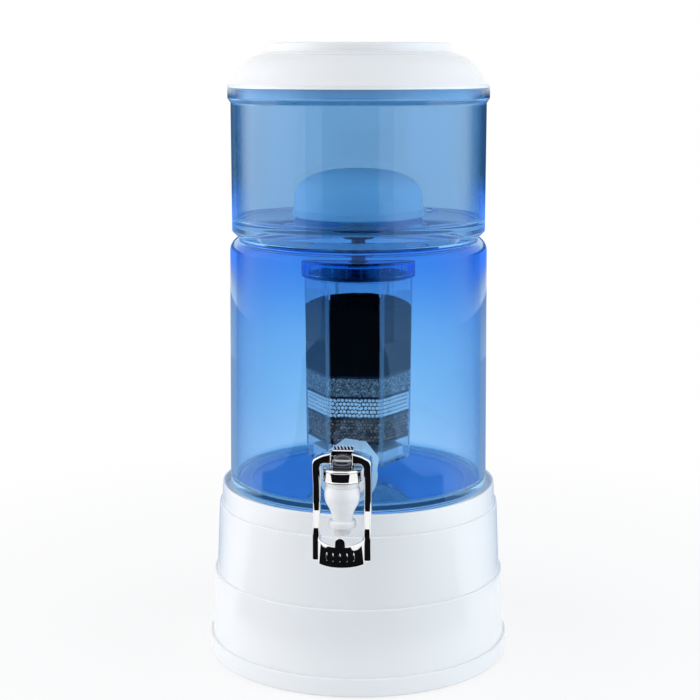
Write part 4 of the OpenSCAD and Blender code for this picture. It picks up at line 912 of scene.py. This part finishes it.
def lever_shield():
    """The shield: a rounded strip along an arc, whose ends run straight back to the arms. A half-round tab
    rises from its middle, and the top edge climbs by a share of the way back. The strip's normal is square
    to its path's slope."""
    half_w, tab_w, tab_h = 17.75, 3.6, 7.5
    t = np.arcsin(np.linspace(-half_w, half_w, 141) / SHIELD_ARC_R)
    arc_y = SHIELD_MID_Y - SHIELD_ARC_R * np.cos(t)
    side_y = np.linspace(-5, arc_y[0], 7)[:-1]
    x = np.concatenate([0 * side_y - half_w, SHIELD_ARC_R * np.sin(t), 0 * side_y + half_w])
    y = np.concatenate([side_y, arc_y, side_y[::-1]])
    slope = np.stack([np.gradient(x), np.gradient(y)])
    slope /= np.linalg.norm(slope, axis=0)
    bump = np.where(np.abs(x) < tab_w, tab_h - tab_w + np.sqrt(np.maximum(tab_w ** 2 - x ** 2, 0)), 0)
    high = SHIELD_TOP + bump + SHIELD_CLIMB * (y - y.min())
    a, b = round_section(0 * x + SHIELD_T / 2, (high - SHIELD_LOW) / 2, 0 * x + 1.0)
    points = [x[:, None] + slope[1][:, None] * a, TAP_Y + y[:, None] - slope[0][:, None] * a,
              ((high + SHIELD_LOW) / 2)[:, None] + b]
    return lofted("lever_shield", np.stack(points, -1) * MM)


def lever_rest():
    """The thumb rest: a plate that rises backwards, with slanting slots. Their depth is a soft-edged square
    wave of x plus a share of the way up the plate."""
    half_w, pitch, deep, slant = 8.9, 2.75, 1.3, 0.35
    profile = rounded([(6.5, 213.5, 0.4), (6.5, ARCH_TOP - 1.6, 1.0), (15.6, 223.4, 1.3), (15.2, 220.9, 1.1),
                       (ARCH_BACK, 217.5, 1.5), (ARCH_BACK, 213.5, 0.4)], 8) / MM
    profile = evenly(np.concatenate([profile, profile[:1]]), 97)[:-1]
    x = np.linspace(-half_w, half_w, 109)[:, None]
    ends = np.clip((half_w - np.abs(x)) / 0.9, 0, 1)
    ends = np.sqrt(1 - (1 - ends) ** 2)
    y, z = profile.T[:, None]
    centre = profile.mean(0)
    upper = np.clip((z - 218.6 - 0.28 * (y - 7)) / 0.6, 0, 1) * np.clip((y - 7.6) / 0.8, 0, 1)
    wave = np.cos(2 * np.pi * (x + slant * (y - ARCH_BACK)) / pitch + np.pi)
    slot = 0.5 + 0.5 * np.clip(2.4 * wave + 0.5, -1, 1)
    inside = np.clip((half_w - 1 - np.abs(x)) / 0.5, 0, 1)
    z = z - deep * slot * upper * inside
    y = centre[0] + (y - centre[0]) * (0.9 + 0.1 * ends)
    z = centre[1] + (z - centre[1]) * (0.8 + 0.2 * ends)
    piece = lofted("lever_rest", np.stack([x + 0 * y, TAP_Y + y, z], -1) * MM)
    groove_shade = np.clip(2.5 * slot - 0.9, 0, 1) * np.clip(2 * upper, 0, 1) * inside
    mark(piece, "groove_shade", groove_shade)
    mark(piece, "satin", upper + 0 * x)
    piece.data.polygons.foreach_set("material_index", np.ones(len(piece.data.polygons), np.int32))
    return piece


RIB_HALF = (0.75, 0.5, 3.6)
RIB_REACH, RIB_Z = 21.5, 139.5


def lever_rib(turn):
    """A low upright rib on the shield's front: a half-sunk ellipsoid, turned along the arc."""
    unit, faces = unit_shape(3)
    points = unit * RIB_HALF
    t = np.radians(turn)
    x = points[:, 0] * np.cos(t) - (points[:, 1] - RIB_REACH) * np.sin(t)
    y = points[:, 0] * np.sin(t) + (points[:, 1] - RIB_REACH) * np.cos(t) + SHIELD_MID_Y
    return mesh_piece("lever_rib", np.stack([x, TAP_Y + y, points[:, 2] + RIB_Z], -1) * MM, faces.tolist())


def beside_slot(near, far, y, z, rounding):
    """The same bar on either side of the lever's slot, from near to far past its edge."""
    return [lever_block(sorted((side * (SLOT + near), side * (SLOT + far))), y, z, rounding)
            for side in (-1, 1)]


lever_parts = [half_lever(-1), half_lever(1), lever_shield(), lever_rest(),
               *beside_slot(0, 1.7, (-ARCH_FRONT + 0.6, 8.0), (HEEL, UNDER + 3), 0.5),
               *beside_slot(-0.1, 1.1, (-ARCH_FRONT - 0.3, -ARCH_FRONT + 1.2), (HEEL, ARCH_TOP - 0.2), 0.55),
               lever_block((-SLOT - 1.5, SLOT + 1.5), (7.5, ARCH_BACK), (HEEL + 2, ARCH_TOP - 2.6), 0.7),
               *(lever_rib(turn) for turn in np.linspace(-30, 30, 5))]
lever = lever_parts[0]
joined = bmesh.new()
for part in lever_parts:
    joined.from_mesh(part.data)
joined.to_mesh(lever.data)
joined.free()
for part in lever_parts[1:]:
    bpy.data.objects.remove(part)
lever.name = "tap_lever_cast"
lever.data.shade_smooth()
lever.data.set_sharp_from_angle(angle=np.radians(CAST_SHARP))
lever.data.materials.append(chromed("lever_chrome"))
rest_satin, tree = blank("rest_satin")
satin = put(tree, "MapRange", {0: painted_mask(tree, "satin"), 3: 0.025, 4: 0.4})
fin = put(tree, "BsdfPrincipled", {"Base Color": (0.96, 0.96, 0.96, 1), "Roughness": satin.outputs[0],
                                   "Metallic": 1.0})
# The slots are painted matt black: painted shade for the dark inside them.
slot = put(tree, "BsdfPrincipled", {"Base Color": (0.004, 0.004, 0.005, 1), "Roughness": 0.9,
                                    "Specular IOR Level": 0.0})
paint_with(tree, put(tree, "MixShader", {0: painted_mask(tree, "groove_shade"), 1: fin.outputs[0],
                                         2: slot.outputs[0]}))
lever.data.materials.append(rest_satin)
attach(lever, "lever")
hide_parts("tap_lever")

# ---- Tap spring and pin ----
# A coil of stainless wire round the plunger's rod, between the bonnet and the seat cup.

COIL_R, WIRE_R, COIL_TURNS = 6.4, 0.5, 7
(_, _, coil_low), (_, _, coil_top) = box_mm("tap_spring")
turn = np.linspace(0, 2 * np.pi * COIL_TURNS, 24 * COIL_TURNS + 1)[:, None]
round_wire = np.linspace(0, 2 * np.pi, 10, endpoint=False)
reach = COIL_R + WIRE_R * np.cos(round_wire)
rise = coil_low + WIRE_R + (coil_top - coil_low - 2 * WIRE_R) * turn / turn[-1]
spring = lofted("spring_coil", np.stack([reach * np.cos(turn), TAP_Y + reach * np.sin(turn),
                                         rise + WIRE_R * np.sin(round_wire)], -1) * MM)
steel = finish("steel", (0.6, 0.61, 0.63), 0.25, 0.1, 0.0, Metallic=1.0)
spring.data.materials.append(steel)
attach(spring, "tank")
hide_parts("tap_spring")
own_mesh(spring)
dress("lever_pin", steel)
